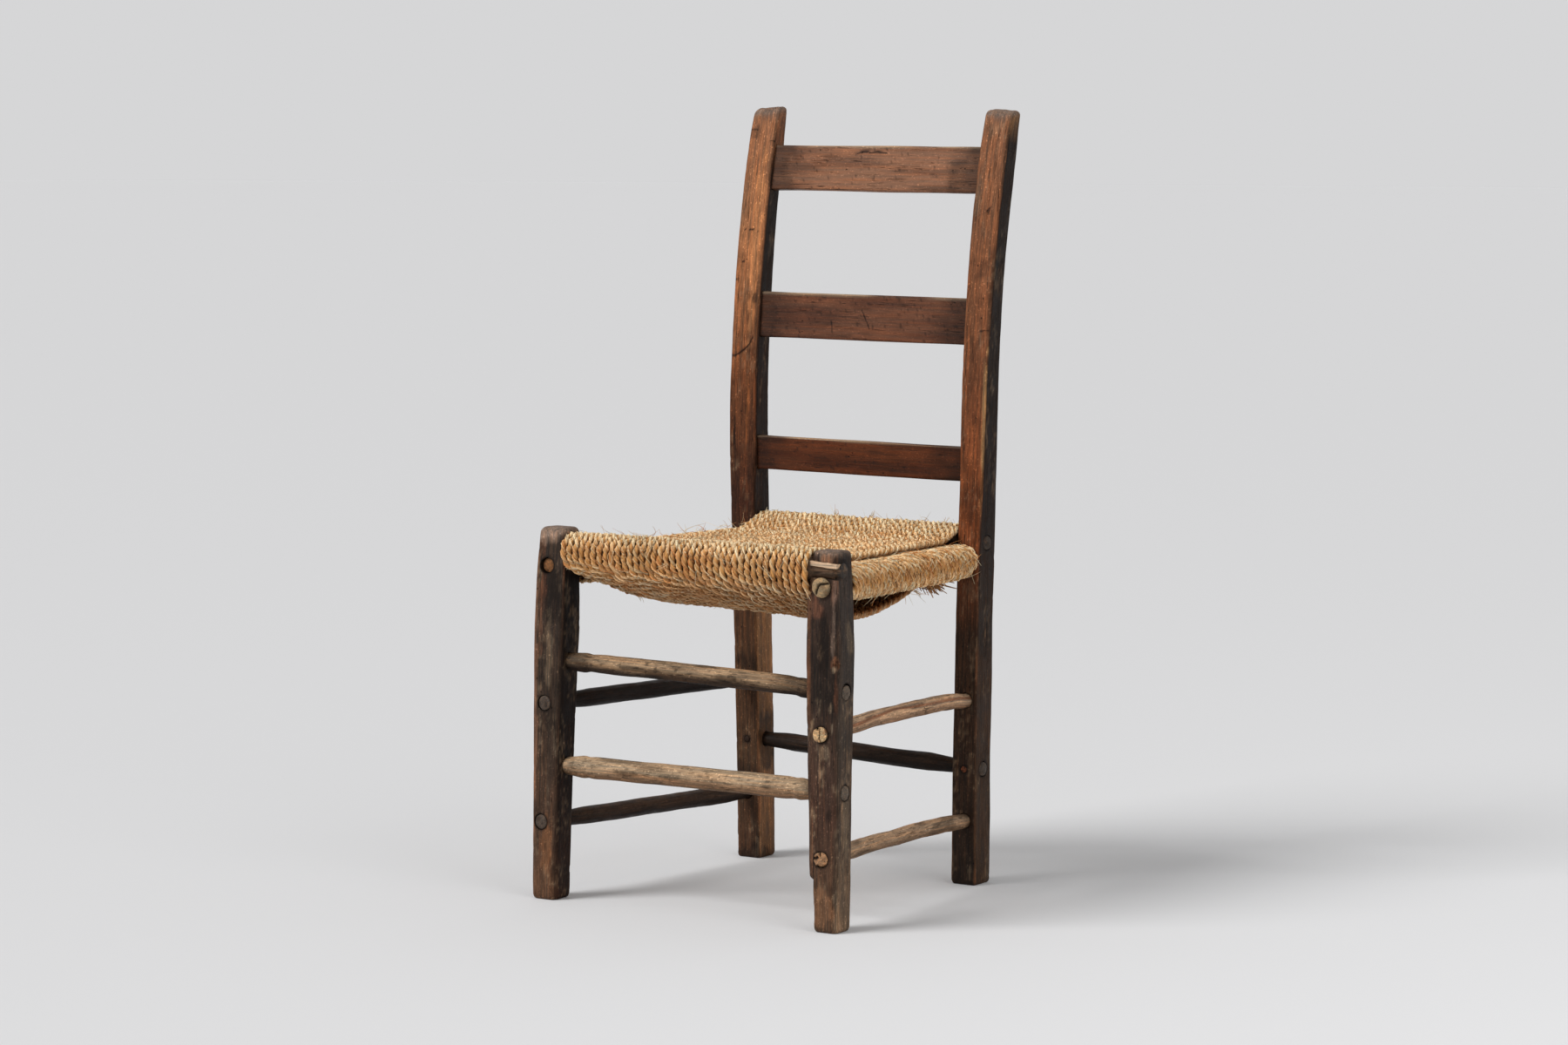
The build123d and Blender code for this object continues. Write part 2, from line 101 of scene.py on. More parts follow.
def lattice(cells):
    """A repeatable number from -1 to 1 for each cell of a grid."""
    x, y, z = np.moveaxis(cells, -1, 0)
    mixed = (x * 73856093) ^ (y * 19349663) ^ (z * 83492791)
    mixed = ((mixed ^ (mixed >> 13)) * 1274126177) & 0x7FFFFFFF
    mixed = ((mixed ^ (mixed >> 11)) * 668265263) & 0x7FFFFFFF
    return (mixed ^ (mixed >> 16)) / 0x3FFFFFFF - 1


def rumple(points, size, seed=0):
    """Smooth noise from -1 to 1 whose bumps have a size, in mm, that may differ by axis."""
    spots = np.asarray(points) / (np.asarray(size) * MM) + 31.7 * seed
    cells = np.floor(spots).astype(np.int64)
    part = spots - cells
    part = part * part * (3 - 2 * part)
    total = np.zeros(spots.shape[:-1])
    for corner in np.ndindex(2, 2, 2):
        share = np.prod(np.where(corner, part, 1 - part), axis=-1)
        total += share * lattice(cells + np.array(corner))
    return total


def plain(colour, count):
    """One colour for each of a number of points."""
    return np.repeat(colour[None], count, 0)


def blend(shade, colour, amount):
    """Colours moved towards another by an amount for each point."""
    return shade + (colour - shade) * np.clip(amount, 0, 1)[..., None]


def mottle(shade, colour, amount, spots, size, seed, low, high):
    """Colours moved towards another in patches: where noise of a size, in mm, rises from low to high."""
    return blend(shade, colour, amount * step(low, high, rumple(spots, size, seed)))


def unit(ways):
    """Ways with a length of one."""
    return ways / np.linalg.norm(ways, axis=-1, keepdims=True)


def columns(places, stops, rows):
    """Each column of rows that are known at stops, looked up at places between them."""
    return np.stack([np.interp(places, stops, column) for column in np.asarray(rows).T], -1)


def upright(z):
    """Points up a straight line, where noise along a piece is taken."""
    return np.stack([0 * z, 0 * z, z], -1)


def full_turn(count):
    """Angles at an even spacing round a circle."""
    return np.linspace(0, 2 * math.pi, count, endpoint=False)


def spokes(count, side, rise):
    """Ways out from an axis at an even spacing round it."""
    angle = full_turn(count)[:, None]
    return np.cos(angle) * side + np.sin(angle) * rise


def read_points(mesh):
    """The points of a mesh."""
    points = np.empty(len(mesh.vertices) * 3)
    mesh.vertices.foreach_get("co", points)
    return points.reshape(-1, 3)


def node_points(node):
    """The points of a solid in the frame."""
    return read_points(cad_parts[node].data)


def sections(node, origin, axis, stations):
    """The points where planes square to an axis cross a solid's edges, plane by plane."""
    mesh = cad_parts[node].data
    points = node_points(node)
    ends = np.empty(len(mesh.edges) * 2, dtype=np.int32)
    mesh.edges.foreach_get("vertices", ends)
    ends = ends.reshape(-1, 2)
    along = (points - origin) @ axis
    first, last = along[ends[:, 0]], along[ends[:, 1]]
    cuts = []
    for station in stations:
        crossing = (first - station) * (last - station) < 0
        share = (station - first[crossing]) / (last[crossing] - first[crossing])
        start = points[ends[crossing, 0]]
        cuts.append(start + share[:, None] * (points[ends[crossing, 1]] - start))
    return cuts


def leg_sections(node, heights):
    """The middle and the half width of a leg at each height."""
    cuts = sections(node, np.zeros(3), UP, heights)
    low = np.array([cut[:, :2].min(0) for cut in cuts])
    high = np.array([cut[:, :2].max(0) for cut in cuts])
    return (low + high) / 2, (high - low) / 2


def board_axes(node):
    """The middle of a solid, its axes from the longest to the shortest, and half its size along them."""
    points = node_points(node)
    axes = np.linalg.svd(points - points.mean(0), full_matrices=False)[2]
    for axis in axes[:2]:
        axis *= np.sign(axis[np.argmax(np.abs(axis))])
    axes[2] = np.cross(axes[0], axes[1])
    spread = points @ axes.T
    low, high = spread.min(0), spread.max(0)
    return axes.T @ ((low + high) / 2), axes, (high - low) / 2


def rod_axis(node):
    """The ends of a round solid, left to right or front to back, its axis, and the ways beside and above."""
    points = node_points(node)
    axis = np.linalg.svd(points - points.mean(0), full_matrices=False)[2][0]
    axis *= np.sign(axis[np.argmax(np.abs(axis))])
    along = points @ axis
    ends = []
    for end in (along.min(), along.max()):
        cap = points[np.abs(along - end) < 0.2 * MM]
        ends.append((cap.min(0) + cap.max(0)) / 2)
    axis = unit(ends[1] - ends[0])
    side = unit(np.cross(axis, UP))
    return ends[0], ends[1], axis, side, np.cross(side, axis)


def add_object(name, points, quads, caps=()):
    """A smooth mesh object made of quads and end caps."""
    mesh = bpy.data.meshes.new(name)
    sizes = np.concatenate([np.full(len(quads), 4), [len(cap) for cap in caps]]).astype(np.int32)
    corners = np.concatenate([quads.ravel(), *caps]).astype(np.int32)
    mesh.vertices.add(len(points))
    mesh.vertices.foreach_set("co", np.asarray(points, dtype=np.float32).ravel())
    mesh.loops.add(len(corners))
    mesh.loops.foreach_set("vertex_index", corners)
    mesh.polygons.add(len(sizes))
    mesh.polygons.foreach_set("loop_start", np.cumsum(sizes) - sizes)
    mesh.update(calc_edges=True)
    mesh.shade_smooth()
    piece = bpy.data.objects.new(name, mesh)
    bpy.context.scene.collection.objects.link(piece)
    return piece


def sleeve(rings):
    """The points, quads and end caps of a closed tube through rings of points."""
    count, around = rings.shape[:2]
    place = np.arange(around)
    start = np.arange(count - 1)[:, None] * around
    ahead = (place + 1) % around
    quads = np.stack([start + place, start + ahead, start + around + ahead, start + around + place], -1)
    caps = [place[::-1], (count - 1) * around + place]
    return rings.reshape(-1, 3), quads.reshape(-1, 4), caps


def carve(piece, cutters):
    """Cuts the cutters out of a piece, then removes them."""
    for cutter in cutters:
        cut = piece.modifiers.new("cut", "BOOLEAN")
        cut.operation = "DIFFERENCE"
        cut.solver = "MANIFOLD"
        cut.object = cutter
    bpy.context.view_layer.update()
    mesh = bpy.data.meshes.new_from_object(piece.evaluated_get(bpy.context.evaluated_depsgraph_get()))
    if len(mesh.vertices) <= len(piece.data.vertices) // 2:
        raise RuntimeError(f"{piece.name} could not be cut")
    piece.modifiers.clear()
    whole = piece.data
    piece.data = mesh
    mesh.name = piece.name
    bpy.data.meshes.remove(whole)
    for cutter in cutters:
        bpy.data.meshes.remove(cutter.data)
    mesh.shade_smooth()
    mesh.set_sharp_from_angle(angle=math.radians(50))


def mesh_points(piece):
    """The points of a new piece and the way that each one faces."""
    facing = np.empty(len(piece.data.vertices) * 3)
    piece.data.vertex_normals.foreach_get("vector", facing)
    return read_points(piece.data), facing.reshape(-1, 3)


def dress(piece, grain, shade, material, slot, *nodes):
    """Stores grain and shade on a piece, gives it its material and puts it on the chair."""
    lay = piece.data.attributes.new("grain", "FLOAT_VECTOR", "POINT")
    lay.data.foreach_set("vector", np.asarray(grain, dtype=np.float32).ravel())
    tone = piece.data.attributes.new("shade", "FLOAT_COLOR", "POINT")
    solid = np.ones((len(shade), 1))
    tone.data.foreach_set("color", np.hstack([shade, solid]).astype(np.float32).ravel())
    piece.data.materials.clear()
    piece.data.materials.append(material)
    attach(piece, "root")
    if nodes:
        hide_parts(*nodes)


def new_node(tree, kind, inputs, **settings):
    """A shader node with its settings made, and its inputs set to plain values or linked to other nodes."""
    node = tree.nodes.new("ShaderNode" + kind)
    for name, setting in settings.items():
        setattr(node, name, setting)
    for name, value in inputs.items():
        if isinstance(value, bpy.types.NodeSocket):
            tree.links.new(value, node.inputs[name])
        else:
            node.inputs[name].default_value = value
    return node


def stretched(tree, lay, stretch):
    """The lay of the grain, with a scale for each axis."""
    return new_node(tree, "VectorMath", {0: lay, 1: stretch}, operation="MULTIPLY").outputs[0]


def grain_noise(tree, lay, stretch, detail, roughness):
    """Noise that is stretched along the grain."""
    inputs = {"Vector": stretched(tree, lay, stretch), "Scale": 1, "Detail": detail, "Roughness": roughness}
    return new_node(tree, "TexNoise", inputs).outputs["Fac"]


def remap(tree, value, low, high, start, end):
    """A value moved from one range to another and kept inside it."""
    inputs = {"Value": value, "From Min": low, "From Max": high, "To Min": start, "To Max": end}
    return new_node(tree, "MapRange", inputs).outputs["Result"]


def combine(tree, operation, first, second):
    """Two values joined by a sum, a product or the like."""
    return new_node(tree, "Math", {0: first, 1: second}, operation=operation).outputs["Value"]


def multiply(tree, colour, amount, share=1.0):
    """A colour times a value or another colour, in full or by a share."""
    inputs = {"Factor": share, "A": colour, "B": amount}
    return new_node(tree, "Mix", inputs, data_type="RGBA", blend_type="MULTIPLY").outputs["Result"]


def new_material(name):
    """An empty material with its shader, and the grain and shade that are stored on the piece."""
    material = bpy.data.materials.new(name)
    material.use_nodes = True
    tree = material.node_tree
    lay = new_node(tree, "Attribute", {}, attribute_name="grain").outputs["Vector"]
    tone = new_node(tree, "Attribute", {}, attribute_name="shade").outputs["Color"]
    return material, tree, tree.nodes["Principled BSDF"], lay, tone


def finish_shader(tree, shader, tone, height, strength, distance, dullness, gloss):
    """Gives a shader its colour, its relief from a height, its dullness and its gloss."""
    bump = new_node(tree, "Bump", {"Strength": strength, "Distance": distance, "Height": height})
    tree.links.new(bump.outputs["Normal"], shader.inputs["Normal"])
    tree.links.new(tone, shader.inputs["Base Color"])
    tree.links.new(dullness, shader.inputs["Roughness"])
    shader.inputs["Specular IOR Level"].default_value = gloss


# Each sort of timber: contrast of its grain, darkness of its pores, share of the relief, and dullness
TIMBERS = {
    "hewn_timber": (0.38, 0.2, 1, 0.58),
    "slat_timber": (0.17, 0.12, 0.8, 0.52),
    "rail_timber": (0.28, 0.1, 1, 0.6),
    "pale_rung_timber": (0.3, 0.16, 1, 0.64),
    "dark_rung_timber": (0.3, 0.12, 1, 0.5),
    "peg_timber": (0.26, 0.08, 1, 0.6),
}
WARM_STREAK = (1.08, 0.9, 0.76, 1)


def timber_material(name, timber):
    """Old wood: fibres, growth streaks, open pores, checks along the grain, worm holes and rubbed places."""
    ready = bpy.data.materials.get(name)
    if ready:
        return ready
    contrast, pores, relief, dull = TIMBERS[name]
    material, tree, shader, lay, tone = new_material(name)
    fibre = grain_noise(tree, lay, (1300, 1300, 55), 4, 0.65)
    streak = grain_noise(tree, lay, (380, 380, 11), 5, 0.6)
    cloud = grain_noise(tree, lay, (95, 95, 42), 6, 0.66)
    check = grain_noise(tree, lay, (230, 230, 6), 3, 0.5)
    pore = grain_noise(tree, lay, (820, 820, 130), 2, 0.5)
    patch = grain_noise(tree, lay, (38, 38, 22), 2, 0.5)
    grit = grain_noise(tree, lay, (560, 560, 360), 2, 0.5)
    worm = new_node(tree, "TexVoronoi", {"Vector": stretched(tree, lay, (120, 120, 85)), "Scale": 1})
    tone = multiply(tree, tone, (*timber.tint, 1))
    tone = multiply(tree, tone, remap(tree, fibre, 0.34, 0.66, 1 - contrast, 1 + contrast))
    tone = multiply(tree, tone, remap(tree, streak, 0.34, 0.66, 1 - contrast, 1 + 0.8 * contrast))
    tone = multiply(tree, tone, remap(tree, cloud, 0.36, 0.66, 1 - 0.9 * contrast, 1 + 0.5 * contrast))
    tone = multiply(tree, tone, WARM_STREAK, remap(tree, streak, 0.4, 0.62, 0, 1))
    gap = combine(tree, "ABSOLUTE", combine(tree, "SUBTRACT", check, 0.5), 0)
    sunk = 0
    for depth, value, here in (
        (pores, remap(tree, pore, 0.58, 0.66, 0, 1), remap(tree, cloud, 0.4, 0.6, 1, 0.15)),
        (1, remap(tree, gap, 0.004, 0.014, 1, 0), remap(tree, cloud, 0.46, 0.58, 0, 1)),
        (1, remap(tree, worm.outputs["Distance"], 0.09, 0.13, 1, 0), remap(tree, patch, 0.56, 0.6, 0, 1)),
    ):
        hollow = combine(tree, "MULTIPLY", combine(tree, "MULTIPLY", value, here), depth)
        sunk = combine(tree, "MAXIMUM", sunk, hollow)
    tone = multiply(tree, tone, remap(tree, sunk, 0, 1, 1, 0.22))
    tone = multiply(tree, tone, remap(tree, grit, 0.61, 0.72, 1, 1 + 6 * pores))
    height = combine(tree, "ADD", combine(tree, "MULTIPLY", fibre, 0.5), combine(tree, "MULTIPLY", streak, 0.6))
    height = combine(tree, "SUBTRACT", height, combine(tree, "MULTIPLY", sunk, 0.7))
    dullness = remap(tree, cloud, 0.35, 0.65, dull - 0.14, dull + 0.14)
    finish_shader(tree, shader, tone, height, relief * timber.relief, 0.8 * MM, dullness, 0.09)
    return material


def straw_material():
    """Dry straw: fine lengthwise fibres, faded and stained patches and a little gloss on the ribs."""
    name = "twisted_straw"
    ready = bpy.data.materials.get(name)
    if ready:
        return ready
    material, tree, shader, lay, tone = new_material(name)
    fibre = grain_noise(tree, lay, (1500, 1500, 60), 4, 0.6)
    stain = grain_noise(tree, lay, (160, 160, 26), 4, 0.6)
    tone = multiply(tree, tone, remap(tree, fibre, 0.32, 0.68, 0.72, 1.25))
    tone = multiply(tree, tone, remap(tree, stain, 0.34, 0.66, 0.84, 1.14))
    dullness = remap(tree, stain, 0.35, 0.65, 0.5, 0.78)
    finish_shader(tree, shader, tone, fibre, 0.55, 0.4 * MM, dullness, 0.16)
    return material


def rounded_rings(half, radius, arc=6, flat=13):
    """Rings of a rectangle with a radius of its own at each corner, and the way that each point faces."""
    arcs = []
    for place, corner in enumerate(((1, -1), (1, 1), (-1, 1), (-1, -1))):
        angle = np.linspace(0, math.pi / 2, arc + 1) + (place - 1) * math.pi / 2
        way = np.stack([np.cos(angle), np.sin(angle)], -1)
        middle = np.array(corner) * (half - radius[:, place, None])
        arcs.append((middle[:, None] + radius[:, place, None, None] * way, way))
    share = np.linspace(0, 1, flat + 2)[1:-1, None]
    rings, facing = [], []
    for place, (points, way) in enumerate(arcs):
        follow = arcs[(place + 1) % 4][0]
        side = points[:, -1:] + (follow[:, :1] - points[:, -1:]) * share
        rings += [points, side]
        facing += [way, np.repeat(way[-1:], flat, 0)]
    return np.concatenate(rings, 1), np.concatenate(facing, 0)


def hole_cutter(start, end, radius, seed):
    """A round cutter with a slightly uneven wall."""
    axis = unit(end - start)
    side = unit(np.cross(axis, UP if abs(axis[2]) < 0.9 else np.array([1.0, 0, 0])))
    spoke = spokes(44, side, np.cross(axis, side))
    rings = np.stack([start + (end - start) * share + spoke * radius for share in np.linspace(0, 1, 9)])
    rings += (spoke * 0.3 * MM) * rumple(rings, (5, 5, 5), seed)[..., None]
    return add_object("hole", *sleeve(rings))


def box_cutter(middle, axes, half):
    """A square cutter along three axes."""
    square = np.array([[-1, -1], [1, -1], [1, 1], [-1, 1]])
    face = middle + square[:, :1] * half[1] * axes[1] + square[:, 1:] * half[2] * axes[2]
    return add_object("mortise", *sleeve(np.stack([face + axes[0] * half[0] * end for end in (-1, 1)])))


def crack_cutter(points, outward, width, depth):
    """A ragged blade that opens a check along a line of points on a surface."""
    points = np.asarray(points, dtype=float)
    outward = unit(np.asarray(outward, dtype=float))
    count = 4 * len(points)
    line = columns(np.linspace(0, len(points) - 1, count), np.arange(len(points)), points)
    side = unit(np.cross(np.gradient(line, axis=0), outward))
    line = line + side * (0.5 * MM * rumple(line, (7, 7, 7), 3))[:, None]
    swell = np.sin(np.linspace(0.12, math.pi - 0.12, count))[:, None]
    swell = swell * (1 + 0.35 * rumple(line, (9, 9, 9), 5))[:, None]
    lip = side * width / 2 * swell
    above = outward * 2 * MM
    rings = np.stack([line - lip + above, line - outward * depth * swell, line + lip + above], 1)
    return add_object("check", *sleeve(rings))


def from_line(points, line):
    """The distance of each point from a line of points."""
    best = np.full(len(points), 1.0)
    for first, last in zip(line[:-1], line[1:]):
        run = last - first
        share = np.clip((points - first) @ run / (run @ run), 0, 1)
        best = np.minimum(best, np.linalg.norm(points - first - share[:, None] * run, axis=1))
    return best


def crosses(first, second, room=1 * MM):
    """Whether the boxes of two solids meet."""
    low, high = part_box(first)
    other_low, other_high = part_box(second)
    return all(low[k] - room < other_high[k] and other_low[k] - room < high[k] for k in range(3))


# Where the side rungs' front ends come through the front legs, in mm to the right and up from the plain solid's
FRONT_TIPS = {
    "left_seat_rail": (-5, 2.5),
    "left_stretcher_upper": (-3.5, -2),
    "left_stretcher_lower": (-5, 0),
    "right_seat_rail": (-3, -0.5),
    "right_stretcher_upper": (-5, -3),
    "right_stretcher_lower": (-5.5, -2.5),
}


def front_shift(node, spots):
    """How far a side rung runs off its plain solid at spots along it: all of it in front, none at its back."""
    start, end = rod_axis(node)[:2]
    front, back = min(start[1], end[1]), max(start[1], end[1])
    across, up = FRONT_TIPS.get(node, (0, 0))
    share = np.clip((back - np.asarray(spots)[..., 1]) / max(back - front, 1 * MM), 0, 1)
    return share[..., None] * np.array([across, 0, up]) * MM


def leg_tips(leg):
    """Ends of rails, rungs and pegs in a leg: node, tip, way out, radius, depth below the face and leg's width."""
    heights = LOOKS[leg].heights
    middle, half = leg_sections(leg, heights)
    tips = []
    for node in RAILS + STRETCHERS + PEGS:
        if not crosses(leg, node):
            continue
        start, end, axis = rod_axis(node)[:3]
        radius = PEG_RADIUS if node in PEGS else TENON_RADIUS
        for tip, away in ((start, -axis), (end, axis)):
            here, wide = columns(tip[2], heights, middle), columns(tip[2], heights, half)
            if np.any(np.abs(tip[:2] - here) > wide + 6 * MM):
                continue
            tip = tip + front_shift(node, tip)
            across = int(np.argmax(np.abs(away[:2])))
            below = wide[across] - np.sign(away[across]) * (tip[across] - here[across])
            tips.append((node, tip, away, radius, below, 2 * wide[across]))
    return tips


def joint_cutters(leg):
    """The holes and slots in a leg, for each rail, rung, peg and slat that enters it."""
    cutters = []
    drilled = []
    for place, (node, tip, away, radius, below, wide) in enumerate(leg_tips(leg)):
        if (leg, node) == OPEN_JOINT or (node in PEGS and node in drilled):
            continue
        drilled.append(node)
        room = 0.5 * MM if node in PEGS else 0.9 * MM
        beyond = below + 8 * MM if below < 5 * MM else 0.3 * MM
        cutters.append(hole_cutter(tip + away * beyond, tip - away * (wide + 12 * MM), radius + room, place))
    for node in SLATS:
        if crosses(leg, node):
            middle, axes, half = board_axes(node)
            cutters.append(box_cutter(middle, axes, half + np.array([0.3, 0.45, 0.45]) * MM))
    return cutters


@dataclass
class Look:
    """How one leg is hewn and worn, with lengths in mm."""

    seed: int
    heights: list  # in metres, where the solid's sections are taken
    faces: dict  # for each face, heights with the colour there
    bow: tuple = (0, 0)
    crown: float = 7
    tilt: tuple = (0, 0)  # slope of the top
    worn: float = 0.5
    soot: float = 0.5
    scraped: float = 0.3
    lift: float = 0  # of the top
    sliver: tuple = ()  # swelling of the left face: from, to and how far
    soft: float = 0  # rounding of the right front arris

    def __post_init__(self):
        self.bow, self.tilt = np.array(self.bow) * MM, np.array(self.tilt)
        self.crown, self.lift = self.crown * MM, self.lift * MM


def leg_line(node, look, z):
    """The middle of a leg, with its bow, and its half width at heights."""
    middle, half = leg_sections(node, look.heights)
    line = columns(z, look.heights, middle) + look.bow * np.sin(math.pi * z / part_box(node)[1].z)[:, None]
    return line, columns(z, look.heights, half)


# The foot's worn edge: height and distance in from the face
FOOT_LEVELS = np.array([0, 0.9, 2.2]) * MM
FOOT_INSETS = np.array([3.2, 1.7, 0.8]) * MM


def hewn_leg(node):
    """A hewn leg on its solid: rings of a worn rectangle up to a rounded crown, before any hole is cut."""
    look = LOOKS[node]
    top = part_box(node)[1].z
    turn = np.linspace(0, math.pi / 2, 7)[1:]
    trunk = np.arange(5 * MM, top - look.crown, 2.4 * MM)
    smallest = leg_sections(node, look.heights)[1][-1].min() - look.crown
    inward = np.linspace(0, smallest * 0.93, 8)[1:]
    z = np.concatenate([FOOT_LEVELS, trunk, top - look.crown * (1 - np.sin(turn)), np.full(len(inward), top)])
    inset = np.concatenate([FOOT_INSETS, 0 * trunk, look.crown * (1 - np.cos(turn)), look.crown + inward])
    line, wide = leg_line(node, look, z)
    corners = []
    for place in range(4):
        worn = 3.3 + 1.1 * rumple(upright(z), (1, 1, 80), look.seed + place)
        worn = worn + 0.5 * rumple(upright(z), (1, 1, 16), look.seed + 9 + place)
        worn = worn * (1 + 0.9 * step(top - 60 * MM, top, z))
        if place == 0:
            worn = worn + look.soft * step(top - 50 * MM, top - 80 * MM, z)
        corners.append(worn * MM)
    radius = np.maximum(np.stack(corners, -1) - 0.6 * inset[:, None], 0.25 * MM)
    half = np.maximum(wide - inset[:, None], 0.6 * MM)
    flat, facing = rounded_rings(half, np.minimum(radius, 0.92 * half.min(1)[:, None]))
    spots = np.concatenate([flat, np.repeat(z[:, None, None], flat.shape[1], 1)], -1)
    depth = 0.42 * rumple(spots, (40, 40, 130), look.seed) + 0.22 * rumple(spots, (13, 13, 46), look.seed + 1)
    depth += 0.12 * rumple(spots, (4, 4, 26), look.seed + 2)
    arris = step(0.8, 0.98, (np.abs(flat) / np.maximum(wide, 1e-6)[:, None]).min(-1))
    depth = depth - 1.2 * arris * step(0.45, 0.85, rumple(spots, (9, 9, 12), look.seed + 3))
    above_foot = (z > 0.1)[:, None]
    calm = step(0, 12 * MM, z)[:, None] * (1 - 0.6 * step(0, 4 * MM, inset)[:, None] * above_foot)
    flat = flat + facing * (depth * MM * calm)[..., None]
    slope = (flat * look.tilt).sum(-1) - np.abs(look.tilt).sum() * 9 * MM
    rise = z[:, None] + step(top - 34 * MM, top, z)[:, None] * slope
    rough = 0.9 * MM * (rumple(spots, (7, 7, 7), look.seed + 4) - 1)
    rise = rise + step(1 * MM, look.crown, inset)[:, None] * above_foot * rough
    rise = rise + look.lift * step(0.6 * top, top, z)[:, None]
    if look.sliver:
        low, high, amount = look.sliver
        ragged = z[:, None] + 3 * MM * rumple(spots, (5, 5, 9), look.seed + 5)
        swell = step((low - 2) * MM, (low + 1) * MM, ragged) * step(high * MM, (high - 40) * MM, z)[:, None]
        swell = amount * MM * swell * np.sqrt(np.clip(-facing[:, 0], 0, 1))
        flat = flat - np.array([1.0, 0]) * swell[..., None]
    rings = np.concatenate([line[:, None] + flat, np.maximum(rise, 0)[..., None]], -1)
    return add_object(f"hewn_{node}", *sleeve(rings))


FACE_WAYS = {"front": (0, -1), "right": (1, 0), "back": (0, 1), "left": (-1, 0)}


def face_colours(look, height, facing):
    """The colour of each point by its height and the face of the leg that it is on."""
    total = np.zeros((len(height), 3))
    weight = np.zeros(len(height))
    for face, way in FACE_WAYS.items():
        stops = look.faces[face]
        here = columns(height, [stop[0] * MM for stop in stops], [srgb(*stop[1:]) for stop in stops])
        share = np.clip(facing[:, :2] @ np.array(way), 0, 1) ** 3 + 1e-4
        total += here * share[:, None]
        weight += share
    return total / weight[:, None]


def finish_leg(piece, node, timber):
    """Colours a cut leg: faces, soot, rubbed edges, scrapes, marks, painted shade in its checks, and dark holes with
    painted shade deep inside them.
    """
    look = LOOKS[node]
    points, facing = mesh_points(piece)
    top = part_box(node)[1].z
    z = points[:, 2]
    line, wide = leg_line(node, look, z)
    across = points[:, :2] - line
    grain = np.concatenate([across, z[:, None]], -1)
    shade = face_colours(look, z, facing)
    shade = mottle(shade, SOOT, look.soot, grain, (22, 22, 75), look.seed + 21, 0.05, 0.6)
    shade = mottle(shade, SOOT, 0.5 * look.soot, grain, (7, 7, 24), look.seed + 22, 0.2, 0.7)
    fleck = 0.55 * rumple(grain, (2.2, 2.2, 5), look.seed + 23) + 0.6 * rumple(grain, (10, 10, 30), look.seed + 27)
    shade = blend(shade, BEIGE, look.scraped * step(0.12, 0.85, fleck))
    arris = step(0.8, 0.97, (np.abs(across) / wide).min(1))
    shade = mottle(shade, RUBBED, timber.wear * look.worn * arris, grain, (9, 9, 38), look.seed + 24, -0.25, 0.5)
    for spot, size, way, colour, amount in MARKS[node]:
        gap = (points - np.array(spot) * MM) / (np.array(size) * MM)
        reach = 1 - np.linalg.norm(gap, axis=1) + 0.45 * rumple(points, (6, 6, 12), look.seed + 25)
        faced = step(0.2, 0.6, facing @ np.array(way)) if np.any(way) else 1.0
        shade = blend(shade, colour, amount * step(0, 0.35, reach) * faced)
    for _, tip, away, radius, *_ in leg_tips(node):
        gap = points - tip
        reach = np.linalg.norm(gap - (gap @ away)[:, None] * away, axis=1)
        outer = step(-8 * MM, -3 * MM, gap @ away)
        shade = blend(shade, SOOT * 0.7, 0.75 * outer * step(radius + 3.2 * MM, radius + 1.2 * MM, reach))
    # Painted shade in the checks, on top of the shade of their cut.
    for check, width, _ in face_lines(node):
        shade = blend(shade, SOOT * 0.6, 0.85 * step(1.1 * width, 0.4 * width, from_line(points, check)))
    crown = step(top - 15 * MM, top - 4 * MM, z + 3 * MM * rumple(grain, (8, 8, 8), look.seed + 28))
    crown = crown * step(-0.1, 0.5, facing[:, 2])
    end_grain = GREY * (1.35 + 0.35 * rumple(grain, (5, 5, 5), look.seed + 26))[:, None]
    shade = blend(shade, end_grain, 0.8 * crown)
    # Painted shade deep inside the holes.
    inner = step(1.6 * MM, 3.6 * MM, (wide - np.abs(across)).min(1))
    inner = inner * (z > 4 * MM) * (z < top - look.crown - 4 * MM)
    shade = blend(shade, SOOT * 0.6, 0.92 * inner)
    dress(piece, grain, shade, timber_material("hewn_timber", timber), "hewn_wood", node)


@dataclass
class Rung:
    """How one rail or rung is whittled, with lengths in mm; pairs are for its first and its last end."""

    seed: int
    # The upper and lower colours are painted light and shade: the lit top and the shaded underside.
    upper: np.ndarray  # colour above
    lower: np.ndarray  # colour below
    bow: tuple = (0, 0)  # sideways and up
    crook: float = 0.4
    facets: float = 0.6
    stain: float = 0.5
    tips: float = 0.3  # raggedness of its ends
    ends: tuple = (None, None)  # colours of its end grain
    proud: tuple = (0, 0)
    dome: float = 0.8
    droop: tuple = (0, 0)
    heads: tuple = (None, None)  # thicker stretches: how much, from and to
    sooty: tuple = (0, 0)  # length of its dark ends
    splits: tuple = ()  # in its first end: points of the split and its width
    vein: np.ndarray = None  # colour of a band along it

    def __post_init__(self):
        self.bow, self.proud, self.droop = (np.array(pair) * MM for pair in (self.bow, self.proud, self.droop))
        self.dome = self.dome * MM


# A rung's end: rings of its edge, by distance from the tip, and rings across its end grain, by share of the radius
EDGE_STOPS = np.array([0, 0.4, 1.0]) * MM
END_GRAIN = np.array([0.1, 0.25, 0.4, 0.55, 0.7, 0.85])
END_RINGS = len(EDGE_STOPS) + len(END_GRAIN)


